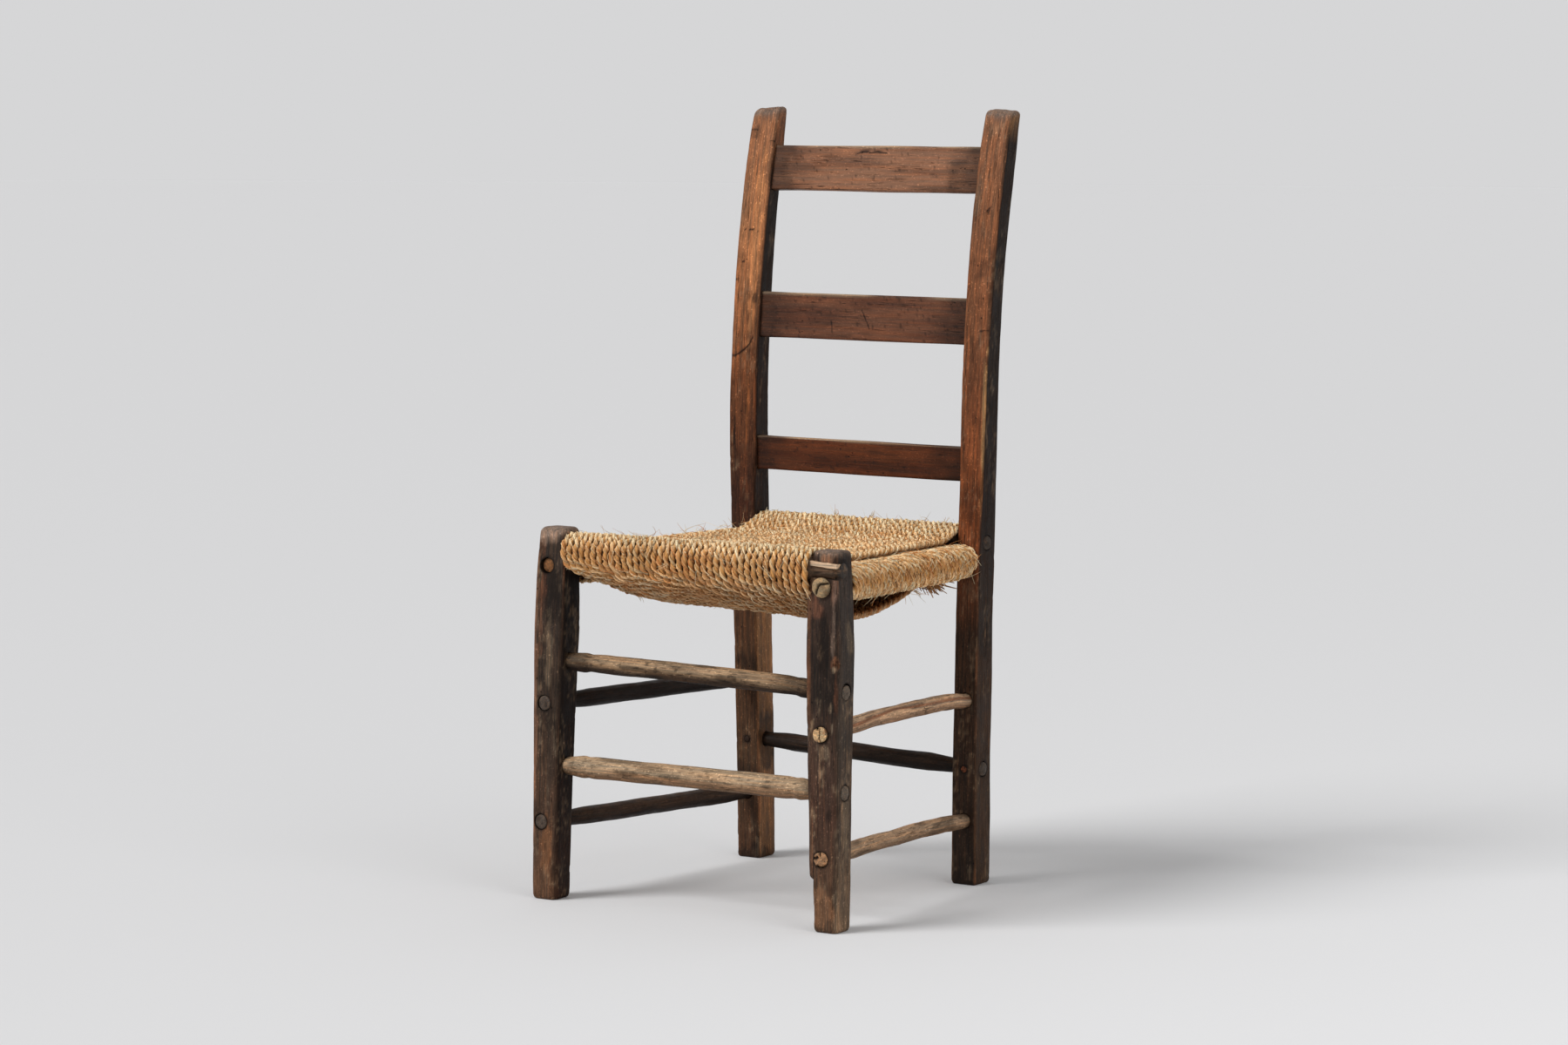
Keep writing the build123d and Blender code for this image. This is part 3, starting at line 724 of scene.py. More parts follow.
def rung_profile(node, rung):
    """Stations along a rung: its radius, how free it is of its tenons, its sag, and how far its ends stand out."""
    start, end, axis = rod_axis(node)[:3]
    length = np.linalg.norm(end - start)
    stations = np.linspace(1 * MM, length - 1 * MM, 90)
    cuts = sections(node, start, axis, stations)
    reach = [np.linalg.norm(cut - start - axis * station, axis=1).max() for station, cut in zip(stations, cuts)]
    t = np.arange(0, length, 2 * MM)
    t = np.concatenate([t[t < length - 1 * MM], [length]])
    radius = np.interp(t, stations, reach)
    free = step(38 * MM, 70 * MM, t) * step(38 * MM, 70 * MM, length - t)
    radius = np.concatenate([[radius[0]] * 3, radius[1:-1], [radius[-1]] * 3])
    radius[[0, -1]] -= 1.1 * MM
    radius[[1, -2]] -= 0.35 * MM
    radius = np.concatenate([END_GRAIN * radius[0], radius, END_GRAIN[::-1] * radius[-1]])
    free = np.concatenate([[0] * END_RINGS, free[1:-1], [0] * END_RINGS])
    t = np.concatenate([0 * END_GRAIN, EDGE_STOPS, t[1:-1], length - EDGE_STOPS[::-1], length + 0 * END_GRAIN])
    sag = 0 * t
    for head, droop, near in zip(rung.heads, rung.droop, (t, length - t)):
        sag = sag + droop * step(80 * MM, 40 * MM, near)
        if head:
            extra, low, high = head
            fade = 0.5 * (high - low)
            swell = step((low - 2) * MM, low * MM, near) * step((high + fade) * MM, high * MM, near)
            radius = radius * (1 + extra * MM / TENON_RADIUS * swell)
    bulge = np.zeros(len(t))
    count = len(END_GRAIN)
    bulge[:count] = -rung.dome * (1 - END_GRAIN**2)
    bulge[-count:] = rung.dome * (1 - END_GRAIN[::-1] ** 2)
    bulge[:END_RINGS] -= rung.proud[0]
    bulge[-END_RINGS:] += rung.proud[1]
    return t, radius, free, sag, bulge


def rung_shade(rung, spots, t, height, torn):
    """Colours of a rung: paler above and darker below as painted light and shade, stained and peppered with soot,
    dark near the legs, with its end grain and painted shade in the splits of its ends.
    """
    near, far = t, t.max() - t
    seed = rung.seed
    # Painted light and shade: the upper colour on top, the lower one underneath.
    upper = step(-0.6, 0.35, height + 0.3 * rumple(spots, (9, 9, 50), seed + 8))
    shade = blend(plain(rung.lower, len(spots)), rung.upper, upper)
    shade = mottle(shade, SOOT, rung.stain, spots, (6, 6, 32), seed + 9, 0.15, 0.65)
    shade = mottle(shade, SOOT, 0.9 * rung.stain, spots, (2, 2, 4.5), seed + 10, 0.35, 0.7)
    shade = mottle(shade, SOOT, 1.1 * rung.stain, spots, (1.8, 1.8, 12), seed + 14, 0.5, 0.75)
    joint = step(66 * MM, 36 * MM, np.minimum(near, far))
    shade = mottle(shade, SOOT, 0.55 * joint, spots, (8, 8, 20), seed + 11, -0.5, 0.4)
    for end, sooty in zip((near, far), rung.sooty):
        if sooty:
            ragged = end + 9 * MM * rumple(spots, (7, 7, 26), seed + 15)
            shade = blend(shade, SOOT, 0.72 * step(sooty * MM, 0.6 * sooty * MM, ragged))
    if rung.vein is not None:
        wave = height + 0.5 * rumple(spots, (60, 60, 45), seed + 16)
        shade = blend(shade, rung.vein, 0.75 * step(0.16, 0.42, wave) * step(0.78, 0.52, wave))
    for end, colour in zip((near, far), rung.ends):
        if colour is not None:
            clean = 1 - 0.6 * step(-0.1, 0.7, rumple(spots, (5, 5, 5), seed + 12))
            shade = blend(shade, colour, step(4 * MM, 1.5 * MM, end) * clean)
    # Painted shade in the open splits of the ends.
    return blend(shade, SOOT * 0.5, 0.95 * torn)


def whittled_rung(node, rung, material, slot):
    """A rail or rung on its solid: a bowed, faceted rod with round tenons and worn tips."""
    start, end, axis, side, rise = rod_axis(node)
    length = np.linalg.norm(end - start)
    t, radius, free, sag, bulge = rung_profile(node, rung)
    seed = rung.seed
    angle = full_turn(60)
    spoke = spokes(60, side, rise)
    sides = 9 + seed % 3
    turn = (angle * sides / (2 * math.pi) + 0.5 * seed) % 1 - 0.5
    facet = 1 / np.cos(turn * 2 * math.pi / sides) - 1.02
    around = (np.cos(angle) * radius[:, None], np.sin(angle) * radius[:, None], t[:, None])
    spots = np.stack(np.broadcast_arrays(*around), -1)
    hew = 0.5 * rumple(spots, (16, 16, 60), seed) + 0.3 * rumple(spots, (5, 5, 30), seed + 1)
    hew = hew + rung.crook * rumple(spots, (12, 12, 15), seed + 2)
    sweep = rung.facets * facet * radius[:, None] * step(-0.6, 0.5, rumple(spots, (30, 30, 80), seed + 3))
    out = radius[:, None] + free[:, None] * (hew * MM - np.abs(sweep))
    out = out + 0.08 * MM * rumple(spots, (3, 3, 6), seed + 4)
    belly = (np.sin(math.pi * t / length) * free)[:, None]
    wander = rung.crook * 1.6 * MM * free
    line = start + axis * (t + bulge)[:, None] + belly * (side * rung.bow[0] + rise * rung.bow[1])
    line = line + (wander * rumple(upright(t), (1, 1, 55), seed + 5))[:, None] * rise
    line = line + (wander * rumple(upright(t), (1, 1, 70), seed + 6))[:, None] * side
    line = line + sag[:, None] * UP + front_shift(node, line)
    rings = line[:, None] + spoke * out[..., None]
    torn = np.zeros(rings.shape[:2])
    flat_tip = spots[:END_RINGS] * (1, 1, 0)
    for split, width in rung.splits:
        gap = from_line(flat_tip.reshape(-1, 3), np.array([(a * MM, b * MM, 0) for a, b in split]))
        open_split = step(width * MM, 0.35 * width * MM, gap).reshape(END_RINGS, -1)
        torn[:END_RINGS] = np.maximum(torn[:END_RINGS], open_split)
    for tip, inward in ((slice(0, END_RINGS), axis), (slice(-END_RINGS, None), -axis)):
        ragged = rung.tips * MM * rumple(rings[tip], (3.5, 3.5, 3.5), seed + 7) + torn[tip] * 3.2 * MM
        edge = rung.tips * 0.8 * MM * rumple(rings[tip], (7, 7, 9), seed + 13)
        rings[tip] += inward * ragged[..., None] + spoke * edge[..., None]
    piece = add_object(f"whittled_{node}", *sleeve(rings))
    spots = spots.reshape(-1, 3)
    height = np.tile(np.sin(angle), len(t))
    shade = rung_shade(rung, spots, np.repeat(t, len(angle)), height, torn.ravel())
    dress(piece, spots + 0.37 * seed, shade, material, slot, node)


def worn_slat(node, seed, rubbed, deep, checks, width, material):
    """A back slat on its solid: a thin warped board with rubbed edges and checks."""
    middle, axes, half = board_axes(node)
    t = np.linspace(-half[0], half[0], 150)
    run = upright(t)
    inside = step(0, 34 * MM, half[0] - np.abs(t))[:, None]
    uneven = np.stack([rumple(run, (1, 1, 60), seed), 0.5 * rumple(run, (1, 1, 45), seed + 1)], -1)
    size = half[1:] + 0.5 * MM * uneven * inside
    edge = (2.6 + 1.2 * rumple(run, (1, 1, 50), seed + 2)) * MM
    radius = np.stack([edge, 0.7 * edge, edge, 0.8 * edge], -1)
    flat, facing = rounded_rings(size, np.minimum(radius, 0.9 * size.min(1)[:, None]), 5, 16)
    spots = np.concatenate([flat, np.repeat(t[:, None, None], flat.shape[1], 1)], -1)
    depth = 0.35 * rumple(spots, (26, 26, 90), seed + 3) + 0.14 * rumple(spots, (6, 6, 50), seed + 4)
    flat = flat + facing * (depth * MM * inside)[..., None]
    flat[..., 1] += 0.9 * MM * inside * rumple(run, (1, 1, 120), seed + 5)[:, None]
    rings = middle + axes[0] * t[:, None, None] + flat[..., :1] * axes[1] + flat[..., 1:] * axes[2]
    piece = add_object(f"worn_{node}", *sleeve(rings))
    lines = [np.array([(a * MM, h * MM, half[2]) for a, h in check]) for check in checks]
    carve(piece, [crack_cutter(middle + line @ axes, axes[2], width * MM, 1.6 * width * MM) for line in lines])
    points, facing = mesh_points(piece)
    local = (points - middle) @ axes.T
    grain = local[:, [1, 2, 0]] + 0.53 * seed
    shade = mottle(plain(rubbed, len(points)), deep, 0.8, grain, (9, 9, 110), seed + 6, -0.2, 0.7)
    shade = mottle(shade, SOOT, 0.4, grain, (5, 5, 26), seed + 7, 0.3, 0.8)
    shade = mottle(shade, SOOT, 0.6, grain, (3, 3, 4.5), seed + 10, 0.55, 0.8)
    near = half[0] - np.abs(local[:, 0])
    grime = step(78 * MM, 26 * MM, near + 12 * MM * rumple(grain, (12, 12, 12), seed + 8))
    shade = blend(shade, SOOT, 0.62 * grime)
    upper = step(0.9, 0.96, local[:, 1] / half[1]) * (1 - 0.5 * grime)
    shade = mottle(shade, BEIGE, 0.8 * upper, grain, (6, 6, 50), seed + 9, -0.7, 0.2)
    # Painted shade in the checks.
    for line in lines:
        shade = blend(shade, SOOT * 0.6, 0.95 * step(1.2 * width * MM, 0.5 * width * MM, from_line(local, line)))
    behind = step(0.3, 0.8, facing @ axes[2] * (1 if axes[2][1] > 0 else -1))
    shade = blend(shade, deep * 0.7, 0.6 * behind)
    dress(piece, grain, shade, material, "slat_wood", node)


def small_stick(node, seed, colour, material, dome=0.9 * MM):
    """A peg on its solid: a round stick with knocked ends."""
    start, end, axis, side, rise = rod_axis(node)
    length = np.linalg.norm(end - start)
    low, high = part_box(node)
    radius = 0.5 * min(high[k] - low[k] for k in range(3))
    bend = np.linspace(0, 1, 6) * math.pi / 2
    knocked, shrink = dome * (1 - np.cos(bend)), np.sin(bend) * 0.75 + 0.25
    t = np.concatenate([knocked, np.linspace(dome * 1.5, length - dome * 1.5, 14), (length - knocked)[::-1]])
    shrink = np.concatenate([shrink, np.ones(14), shrink[::-1]])
    spoke = spokes(32, side, rise)
    rings = start + axis * t[:, None, None] + spoke * (radius * shrink)[:, None, None]
    rings = rings + spoke * (0.25 * MM * rumple(rings, (3, 3, 3), seed))[..., None]
    piece = add_object(f"knocked_{node}", *sleeve(rings))
    points = rings.reshape(-1, 3)
    grain = (points - start) @ np.stack([side, rise, axis], -1) + 0.41 * seed
    shade = mottle(plain(colour, len(points)), SOOT, 0.6, points, (3, 3, 3), seed + 1, 0, 0.6)
    dress(piece, grain, shade, material, "peg_wood", node)


def thin_wedge(node, seed, colour, material, ragged, swell, shift, slope=0.0):
    """A wedge on its solid: a split slip of wood with torn edges."""
    middle, axes, half = board_axes(node)
    middle, half = middle + np.array(shift) * MM, half * np.array(swell)
    t = np.linspace(-half[0], half[0], 40)
    size = np.stack([half[1] + 0 * t, half[2] * (1 + ragged * rumple(upright(t), (1, 1, 6), seed))], -1)
    radius = np.repeat(np.minimum(0.6 * MM, 0.5 * size.min(1))[:, None], 4, 1)
    flat = rounded_rings(size, radius, 3, 8)[0]
    rings = middle + axes[0] * t[:, None, None] + flat[..., :1] * axes[1] + flat[..., 1:] * axes[2]
    rings = rings + 0.35 * MM * ragged * rumple(rings, (3, 3, 2), seed + 1)[..., None] * axes[1]
    rings[..., 2] -= slope * (rings[..., 0] - middle[0])
    piece = add_object(f"split_{node}", *sleeve(rings))
    grain = ((rings.reshape(-1, 3) - middle) @ axes.T)[:, [1, 2, 0]] + 0.29 * seed
    shade = mottle(plain(colour, len(grain)), SOOT, 0.6, grain, (2, 2, 5), seed + 2, 0.3, 0.8)
    dress(piece, grain, shade, material, "peg_wood", node)


def even_line(keys, spacing):
    """A smooth line through key points, as points at an even spacing."""
    keys = np.concatenate([2 * keys[:1] - keys[1:2], keys, 2 * keys[-1:] - keys[-2:-1]])
    gap = np.sqrt(np.linalg.norm(np.diff(keys, axis=0), axis=1))[:, None, None]
    p0, p1, p2, p3 = (keys[k : len(keys) - 3 + k, None] for k in range(4))
    t1 = gap[:-2]
    t2 = t1 + gap[1:-1]
    t3 = t2 + gap[2:]
    t = t1 + (t2 - t1) * np.linspace(0, 1, 8, endpoint=False)[None, :, None]
    a1 = (t1 - t) / t1 * p0 + t / t1 * p1
    a2 = (t2 - t) / (t2 - t1) * p1 + (t - t1) / (t2 - t1) * p2
    a3 = (t3 - t) / (t3 - t2) * p2 + (t - t2) / (t3 - t2) * p3
    b1 = (t2 - t) / t2 * a1 + t / t2 * a2
    b2 = (t3 - t) / (t3 - t1) * a2 + (t - t1) / (t3 - t1) * a3
    fine = ((t2 - t) / (t2 - t1) * b1 + (t - t1) / (t2 - t1) * b2).reshape(-1, 3)
    run = np.concatenate([[0], np.cumsum(np.linalg.norm(np.diff(fine, axis=0), axis=1))])
    return columns(np.arange(0, run[-1], spacing), run, fine)


class CordLine:
    """The middle line of a wound cord, with a frame to lay straws around it."""

    spacing = 3 * MM
    change = 45 * MM  # length over which twist and thickness change

    def __init__(self, keys, sideways):
        self.points = even_line(keys, self.spacing)
        self.run = unit(np.gradient(self.points, axis=0))
        self.across = unit(sideways - (self.run @ sideways)[:, None] * self.run)
        self.out = np.cross(self.run, self.across)
        self.length = self.spacing * (len(self.points) - 1)
        rng = np.random.default_rng(len(self.points))
        self.uneven = 5 * MM * rng.normal(0, 1, int(self.length / self.change) + 2)
        self.bulk = rng.uniform(0.88, 1.12, len(self.uneven))

    def slip(self, lengths):
        """How far the twist runs ahead of an even one at lengths along the line."""
        return np.interp(lengths / self.change, np.arange(len(self.uneven)), self.uneven)

    def fullness(self, lengths):
        """How thick the cord is, beside its usual thickness, at lengths along the line."""
        return np.interp(lengths / self.change, np.arange(len(self.bulk)), self.bulk)

    def at(self, lengths):
        """The place, and the ways along, across and out of the cord, at lengths along the line."""
        place = np.clip(lengths / self.spacing, 0, len(self.points) - 1.001)
        first = place.astype(np.int64)
        share = (place - first)[..., None]
        frames = (self.points, self.run, self.across, self.out)
        return [rows[first] * (1 - share) + rows[first + 1] * share for rows in frames]


STRAW_RINGS = 30
STRAW_OVERLAP = 1.1  # straws to a length, beside as many as lie end to end
# Painted shade: the straw's colour is multiplied by this where a roll stands upright, as if lit from above.
UPRIGHT_PAINTED_SHADE = (0.7, 0.57, 0.45)  # the straw's colour times this, where a roll stands upright
# Painted shade on the straws on a cord's inner side.
INNER_STRAW_SHADE = srgb(122, 76, 36)
# Painted shade on the straws where the front cord hangs below the rails.
BELLY_STRAW_SHADE = srgb(136, 78, 36)
CORD_HEART = srgb(196, 142, 82)
# Painted shade on a cord's heart: its inner side, and where the front cord hangs.
INNER_HEART_SHADE = srgb(84, 50, 22)
BELLY_HEART_SHADE = srgb(96, 56, 26)


def hanging(points):
    """How far the front cord has sunk below the rails, from 0 to 1."""
    return step(402 * MM, 372 * MM, points[..., 2])


def lay_straws(line, first, last, settings, rng, hangs):
    """Straws laid along the two strands of a stretch of cord: points, quads, grain and shade."""
    lanes = settings.straws
    each = int(STRAW_OVERLAP * (last - first) / settings.straw_length) + 1
    lane = np.repeat(np.arange(lanes), each)
    count = len(lane)
    order = np.tile(np.arange(each), lanes) + 0.37 * lane % 1 + rng.uniform(-0.3, 0.3, count)
    start = first + (order - 0.5) * (last - first) / each
    strand = math.pi * (lane % 2)
    bearing = 1.75 * (lane // 2 / (lanes // 2 - 1) * 2 - 1) + rng.uniform(-0.3, 0.3, count)
    length = settings.straw_length * rng.uniform(0.85, 1.4, count)
    share = np.linspace(0, 1, STRAW_RINGS)
    run = np.clip(start[:, None] + length[:, None] * share, 0, line.length)
    middle, _, across, out = line.at(run)

    turn = (strand[:, None] - 2 * math.pi * (run + line.slip(run)) / settings.twist)[..., None]
    ply = np.cos(turn) * across + np.sin(turn) * out
    beside = np.cos(turn) * out - np.sin(turn) * across
    angle = bearing[:, None, None]
    spoke = np.cos(angle) * ply + np.sin(angle) * beside
    side = np.cos(angle) * beside - np.sin(angle) * ply
    tip = np.minimum(share, 1 - share)[None] * 2
    hang = hanging(middle) if hangs else 0 * run
    lift = rng.uniform(-0.2, 1.0, count)[:, None] * (rng.random(count) < 0.3)[:, None]
    full = line.fullness(run) * settings.cord_diameter
    reach = full * (0.215 + (0.02 + 0.05 * hang) * rng.uniform(-1, 1, count)[:, None])
    reach = reach + lift * 2.0 * MM * step(0.22, 0, tip) - 0.7 * MM * (1 - lift) * step(0.1, 0, tip)
    width = settings.straw_width * rng.uniform(0.75, 1.2, count)[:, None] * (0.25 + 0.75 * step(0, 0.3, tip))
    thick = 0.55 * settings.straw_width * rng.uniform(0.75, 1.2, count)[:, None] * (0.35 + 0.65 * step(0, 0.2, tip))
    spots = middle + ply * 0.19 * full[..., None] + spoke * reach[..., None]
    wing, rib = side * (width / 2)[..., None], spoke * (thick / 2)[..., None]
    corners = np.stack([spots + wing - 0.6 * rib, spots + rib, spots - wing - 0.6 * rib, spots - rib], 2)
    base = np.arange(count)[:, None, None] * STRAW_RINGS * 4 + np.arange(STRAW_RINGS - 1)[None, :, None] * 4
    place = np.arange(4)
    ahead = (place + 1) % 4
    quads = np.stack([base + place, base + place + 4, base + ahead + 4, base + ahead], -1).reshape(-1, 4)

    tint = rng.normal(0, 1, count)
    aged = rng.random(count)
    grain = np.zeros((count, STRAW_RINGS, 4, 3))
    grain[..., 0] = rng.uniform(0, 30, count)[:, None, None] + place * 0.5 * settings.straw_width
    grain[..., 1] = rng.uniform(0, 30, count)[:, None, None]
    grain[..., 2] = run[..., None]
    pale, ripe, deep = (np.array(colour) for colour in (settings.pale, settings.ripe, settings.deep))
    shade = blend(plain(ripe, count), pale, step(-0.3, 1.4, tint))
    shade = blend(shade, deep, step(-0.4, -1.8, tint))
    shade = blend(shade, deep * 0.55, 0.8 * (aged < 0.05))
    # Painted shade on the straws at the inner sides of each strand, in the grooves where the strands meet.
    shade = blend(shade, deep * 0.55, 0.45 * step(0.3, -0.2, np.cos(bearing)))
    shade = shade[:, None] * (1 + 0.16 * rumple(middle, (30, 30, 30), 97))[..., None]
    # Painted highlight along the tops of the rolls.
    roll_highlight = step(0.45, 0.9, out[..., 2]) * step(414 * MM, 423 * MM, middle[..., 2])
    shade = blend(shade, pale, 0.6 * roll_highlight)
    # Painted shade where the rolls stand upright.
    shade = blend(shade, shade * UPRIGHT_PAINTED_SHADE, step(0.65, 0.1, np.abs(out[..., 2])))
    # Painted shade on the straws on the cord's inner side.
    outer = ((spots - middle) * out).sum(-1) / (0.4 * settings.cord_diameter)
    shade = blend(shade, INNER_STRAW_SHADE, 0.75 * step(0.1, -0.5, outer))
    # Painted shade where the front cord hangs.
    shade = blend(shade, BELLY_STRAW_SHADE, 0.58 * hang)
    return corners.reshape(-1, 3), quads, grain.reshape(-1, 3), np.repeat(shade[:, :, None], 4, 2).reshape(-1, 3)


def straw_core(line, settings, around):
    """The dark heart of a cord, which closes the gaps between its straws."""
    ways = spokes(around, line.across[::2, None], line.out[::2, None])
    return sleeve(line.points[::2, None] + settings.cord_diameter * 0.29 * ways)


def wound_seat(node, line, settings, rng, groups):
    """A wound cord in several pieces, which stand for one solid."""
    material = straw_material()
    hangs = node == FRONT_CORD
    ends = np.linspace(0, line.length, groups + 1)
    for group in range(groups):
        points, quads, grain, shade = lay_straws(line, ends[group], ends[group + 1], settings, rng, hangs)
        piece = add_object(f"straw_{node}_{group + 1}", points, quads)
        dress(piece, grain, shade, material, "straw_cord", node)
    around = 8
    points, quads, caps = straw_core(line, settings, around)
    piece = add_object(f"heart_{node}", points, quads, caps)
    outward = np.tile(np.sin(full_turn(around)), len(points) // around)
    # Painted shade on the heart's inner side, and where the front cord hangs.
    shade = blend(plain(CORD_HEART, len(points)), INNER_HEART_SHADE, step(0.2, -0.4, outward))
    shade = blend(shade, BELLY_HEART_SHADE, 0.7 * hanging(points) * hangs)
    dress(piece, points, shade, material, "straw_cord", node)


def roll_keys(first, last, count, level, radius):
    """Points round a rail, as angles from first to last in degrees: distance from its middle, and height."""
    angles = np.radians(np.linspace(first, last, count))
    return [(radius * math.cos(angle), level + radius * math.sin(angle)) for angle in angles]


def seat_spans(settings):
    """Where the two windings start and end along the rails, from the legs' inner faces."""
    room = settings.cord_diameter / 2 + 0.3 * MM
    inner = {}
    for leg in ("front_leg_left", *REAR_POSTS):
        middle, half = leg_sections(leg, [FRONT_RAIL_LEVEL * MM])
        inner[leg] = (middle[0] - half[0], middle[0] + half[0])
    left_front = inner["front_leg_left"][1][0] + room
    back = (inner["rear_post_left"][1][0] + room, inner["rear_post_right"][0][0] - room)
    behind = inner["front_leg_left"][1][1] + room
    before = (inner["rear_post_left"][0][1] - room, inner["rear_post_right"][0][1] - room)
    return (left_front, -left_front), back, behind, before


def rail_point(node, place, axis):
    """The point on a rail's middle line at a place along x or y."""
    start, end = rod_axis(node)[:2]
    share = (place - start[axis]) / (end[axis] - start[axis])
    return start + (end - start) * share[:, None]


def turn_keys(rows, last, start, reach, pitch, way):
    """Key points of one turn: rows of distance along its reach, height and shift. The last lead to the next turn."""
    size = np.linalg.norm(reach) / MM
    keys = []
    for place, (u, z, shift) in enumerate(rows):
        late = max(0.0, (place - len(rows) + last) / last)
        spot = start + reach * (u / size) + pitch * late + way * shift
        keys.append((spot[0], spot[1], z * MM))
    return keys


# Heights of the rails and of the seat's top over them, in mm
FRONT_RAIL_LEVEL = 410
BACK_TOP_LEVEL = 427
FRONT_TOP_LEVEL = 427.5
SIDE_RAIL_LEVEL = 389
SIDE_TOP_LEVEL = 406
SIDE_DISH_LEVEL = 396
# The belly's lowest height at places along the front rail
BELLY_PLACES = (-168, -140, -89, -17, 56, 142, 170)
BELLY_LEVELS = (366, 358, 349, 350, 348, 346, 348)
# The front of the belly: distance behind the front rail, share of the drop still to go, and drift to the right
BELLY_FALL = (
    (-16.6, 0.84, 1.5),
    (-12.5, 0.66, 7),
    (-3, 0.48, 15),
    (14, 0.29, 23),
    (38, 0.12, 30),
    (72, 0.01, 35),
    (112, -0.02, 37),
    (155, 0.05, 36),
)


def front_to_back_keys(settings):
    """Key points of the winding over the front and back rails, turn after turn."""
    (left, right), (back_left, back_right) = seat_spans(settings)[:2]
    share = np.linspace(0, 1, settings.turns_front_to_back)
    front = rail_point("front_seat_rail", left + (right - left) * share, 0)
    back = rail_point("back_seat_rail", back_left + (back_right - back_left) * share, 0)
    pitch = (back[1:] - back[:-1]).mean(0)
    coil = settings.roll_radius / MM
    keys = []
    for s, start, reach in zip(share, front, back - front):
        depth = np.linalg.norm(reach) / MM
        dish = 409.5 + 3 * s
        belly = np.interp(start[0] / MM, BELLY_PLACES, BELLY_LEVELS)
        rows = [(depth + u, z, 0) for u, z in roll_keys(-90, 95, 8, FRONT_RAIL_LEVEL, coil)]
        behind = [depth - u for u in (8, 20, 36, 52, 64, 80, 125)]
        for u in (*behind, depth / 2, 125, 85, 55, 32, 16, 6):
            ramp = np.clip((u - depth + 62) / 56, 0, 1)
            ramp = ramp * ramp * (1.6 - 0.6 * ramp) if ramp < 0.3 else 0.128 + (ramp - 0.3) * 1.246
            rise = (BACK_TOP_LEVEL - dish) * ramp + (FRONT_TOP_LEVEL - dish) * step(90, 4, u)
            rows.append((u, dish + rise, 0))
        rows += [(u, z, 0) for u, z in roll_keys(95, 190, 6, FRONT_RAIL_LEVEL, coil)]
        under = [(u, belly + (404 - belly) * fall, drift) for u, fall, drift in BELLY_FALL]
        under += [(195, belly * 0.6 + 368 * 0.4, 33), (240, 372, 25)]
        under += [(depth - 75, 381, 15), (depth - 38, 388, 7), (depth - 14, 391.2, 2)]
        rows += [(u, z, drift * (1 - s * s)) for u, z, drift in under]
        keys += turn_keys(rows, len(under), start, reach, pitch, np.array([MM, 0, 0]))
    return np.array(keys)


def side_to_side_keys(settings):
    """Key points of the winding over the side rails, turn after turn."""
    behind, before = seat_spans(settings)[2:]
    share = np.linspace(0, 1, settings.turns_side_to_side)
    left = rail_point("left_seat_rail", behind + (before[0] - behind) * share, 1)
    right = rail_point("right_seat_rail", behind + (before[1] - behind) * share, 1)
    pitch = (left[1:] - left[:-1]).mean(0)
    keys = []
    for s, start, reach in zip(share, right, left - right):
        coil = settings.roll_radius / MM * (1 - 0.16 * step(0.94, 1.0, s))
        width = np.linalg.norm(reach) / MM
        rows = [(width + u, z, 0) for u, z in roll_keys(-90, 95, 8, SIDE_RAIL_LEVEL, coil)]
        for u in (width - 12, width - 30, width - 60, width - 110, width / 2, 110, 60, 30, 12):
            rise = step(width - 70, width - 4, u) + step(70, 4, u)
            rows.append((u, SIDE_DISH_LEVEL + (SIDE_TOP_LEVEL - SIDE_DISH_LEVEL) * rise, 0))
        outer = roll_keys(95, 262, 8, SIDE_RAIL_LEVEL, coil)
        rows += [(u, z, place / 7) for place, (u, z) in enumerate(outer)]
        under = [(18, 372, 0.9), (50, 375.5, 0.6), (110, 379, 0.2), (width / 2, 380, 0)]
        under += [(width - 110, 379, 0), (width - 50, 375.5, 0), (width - 18, 372, 0)]
        lean = -pitch * settings.lean * step(0, 0.08, s)
        keys += turn_keys(rows + under, len(under), start, reach, pitch, lean)
    return np.array(keys)


def tangle(keys, seed, amount, loose=0):
    """Key points with the small unevenness of winding by hand, and more of it where the cord hangs."""
    shift, fine, slack = (
        np.stack([rumple(keys, (size,) * 3, seed + first + k) for k in range(3)], -1)
        for size, first in ((46, 0), (15, 5), (24, 9))
    )
    hang = step(396 * MM, 370 * MM, keys[:, 2])[:, None]
    return keys + amount * (shift + 0.6 * fine) + loose * hang * slack


def front_line(settings):
    """The cord over the front and back rails."""
    return CordLine(tangle(front_to_back_keys(settings), 81, 0.7 * MM, 2.2 * MM), np.array([1.0, 0, 0]))


def side_line(settings):
    """The cord over the side rails."""
    return CordLine(tangle(side_to_side_keys(settings), 91, 0.6 * MM), np.array([0, 1.0, 0]))


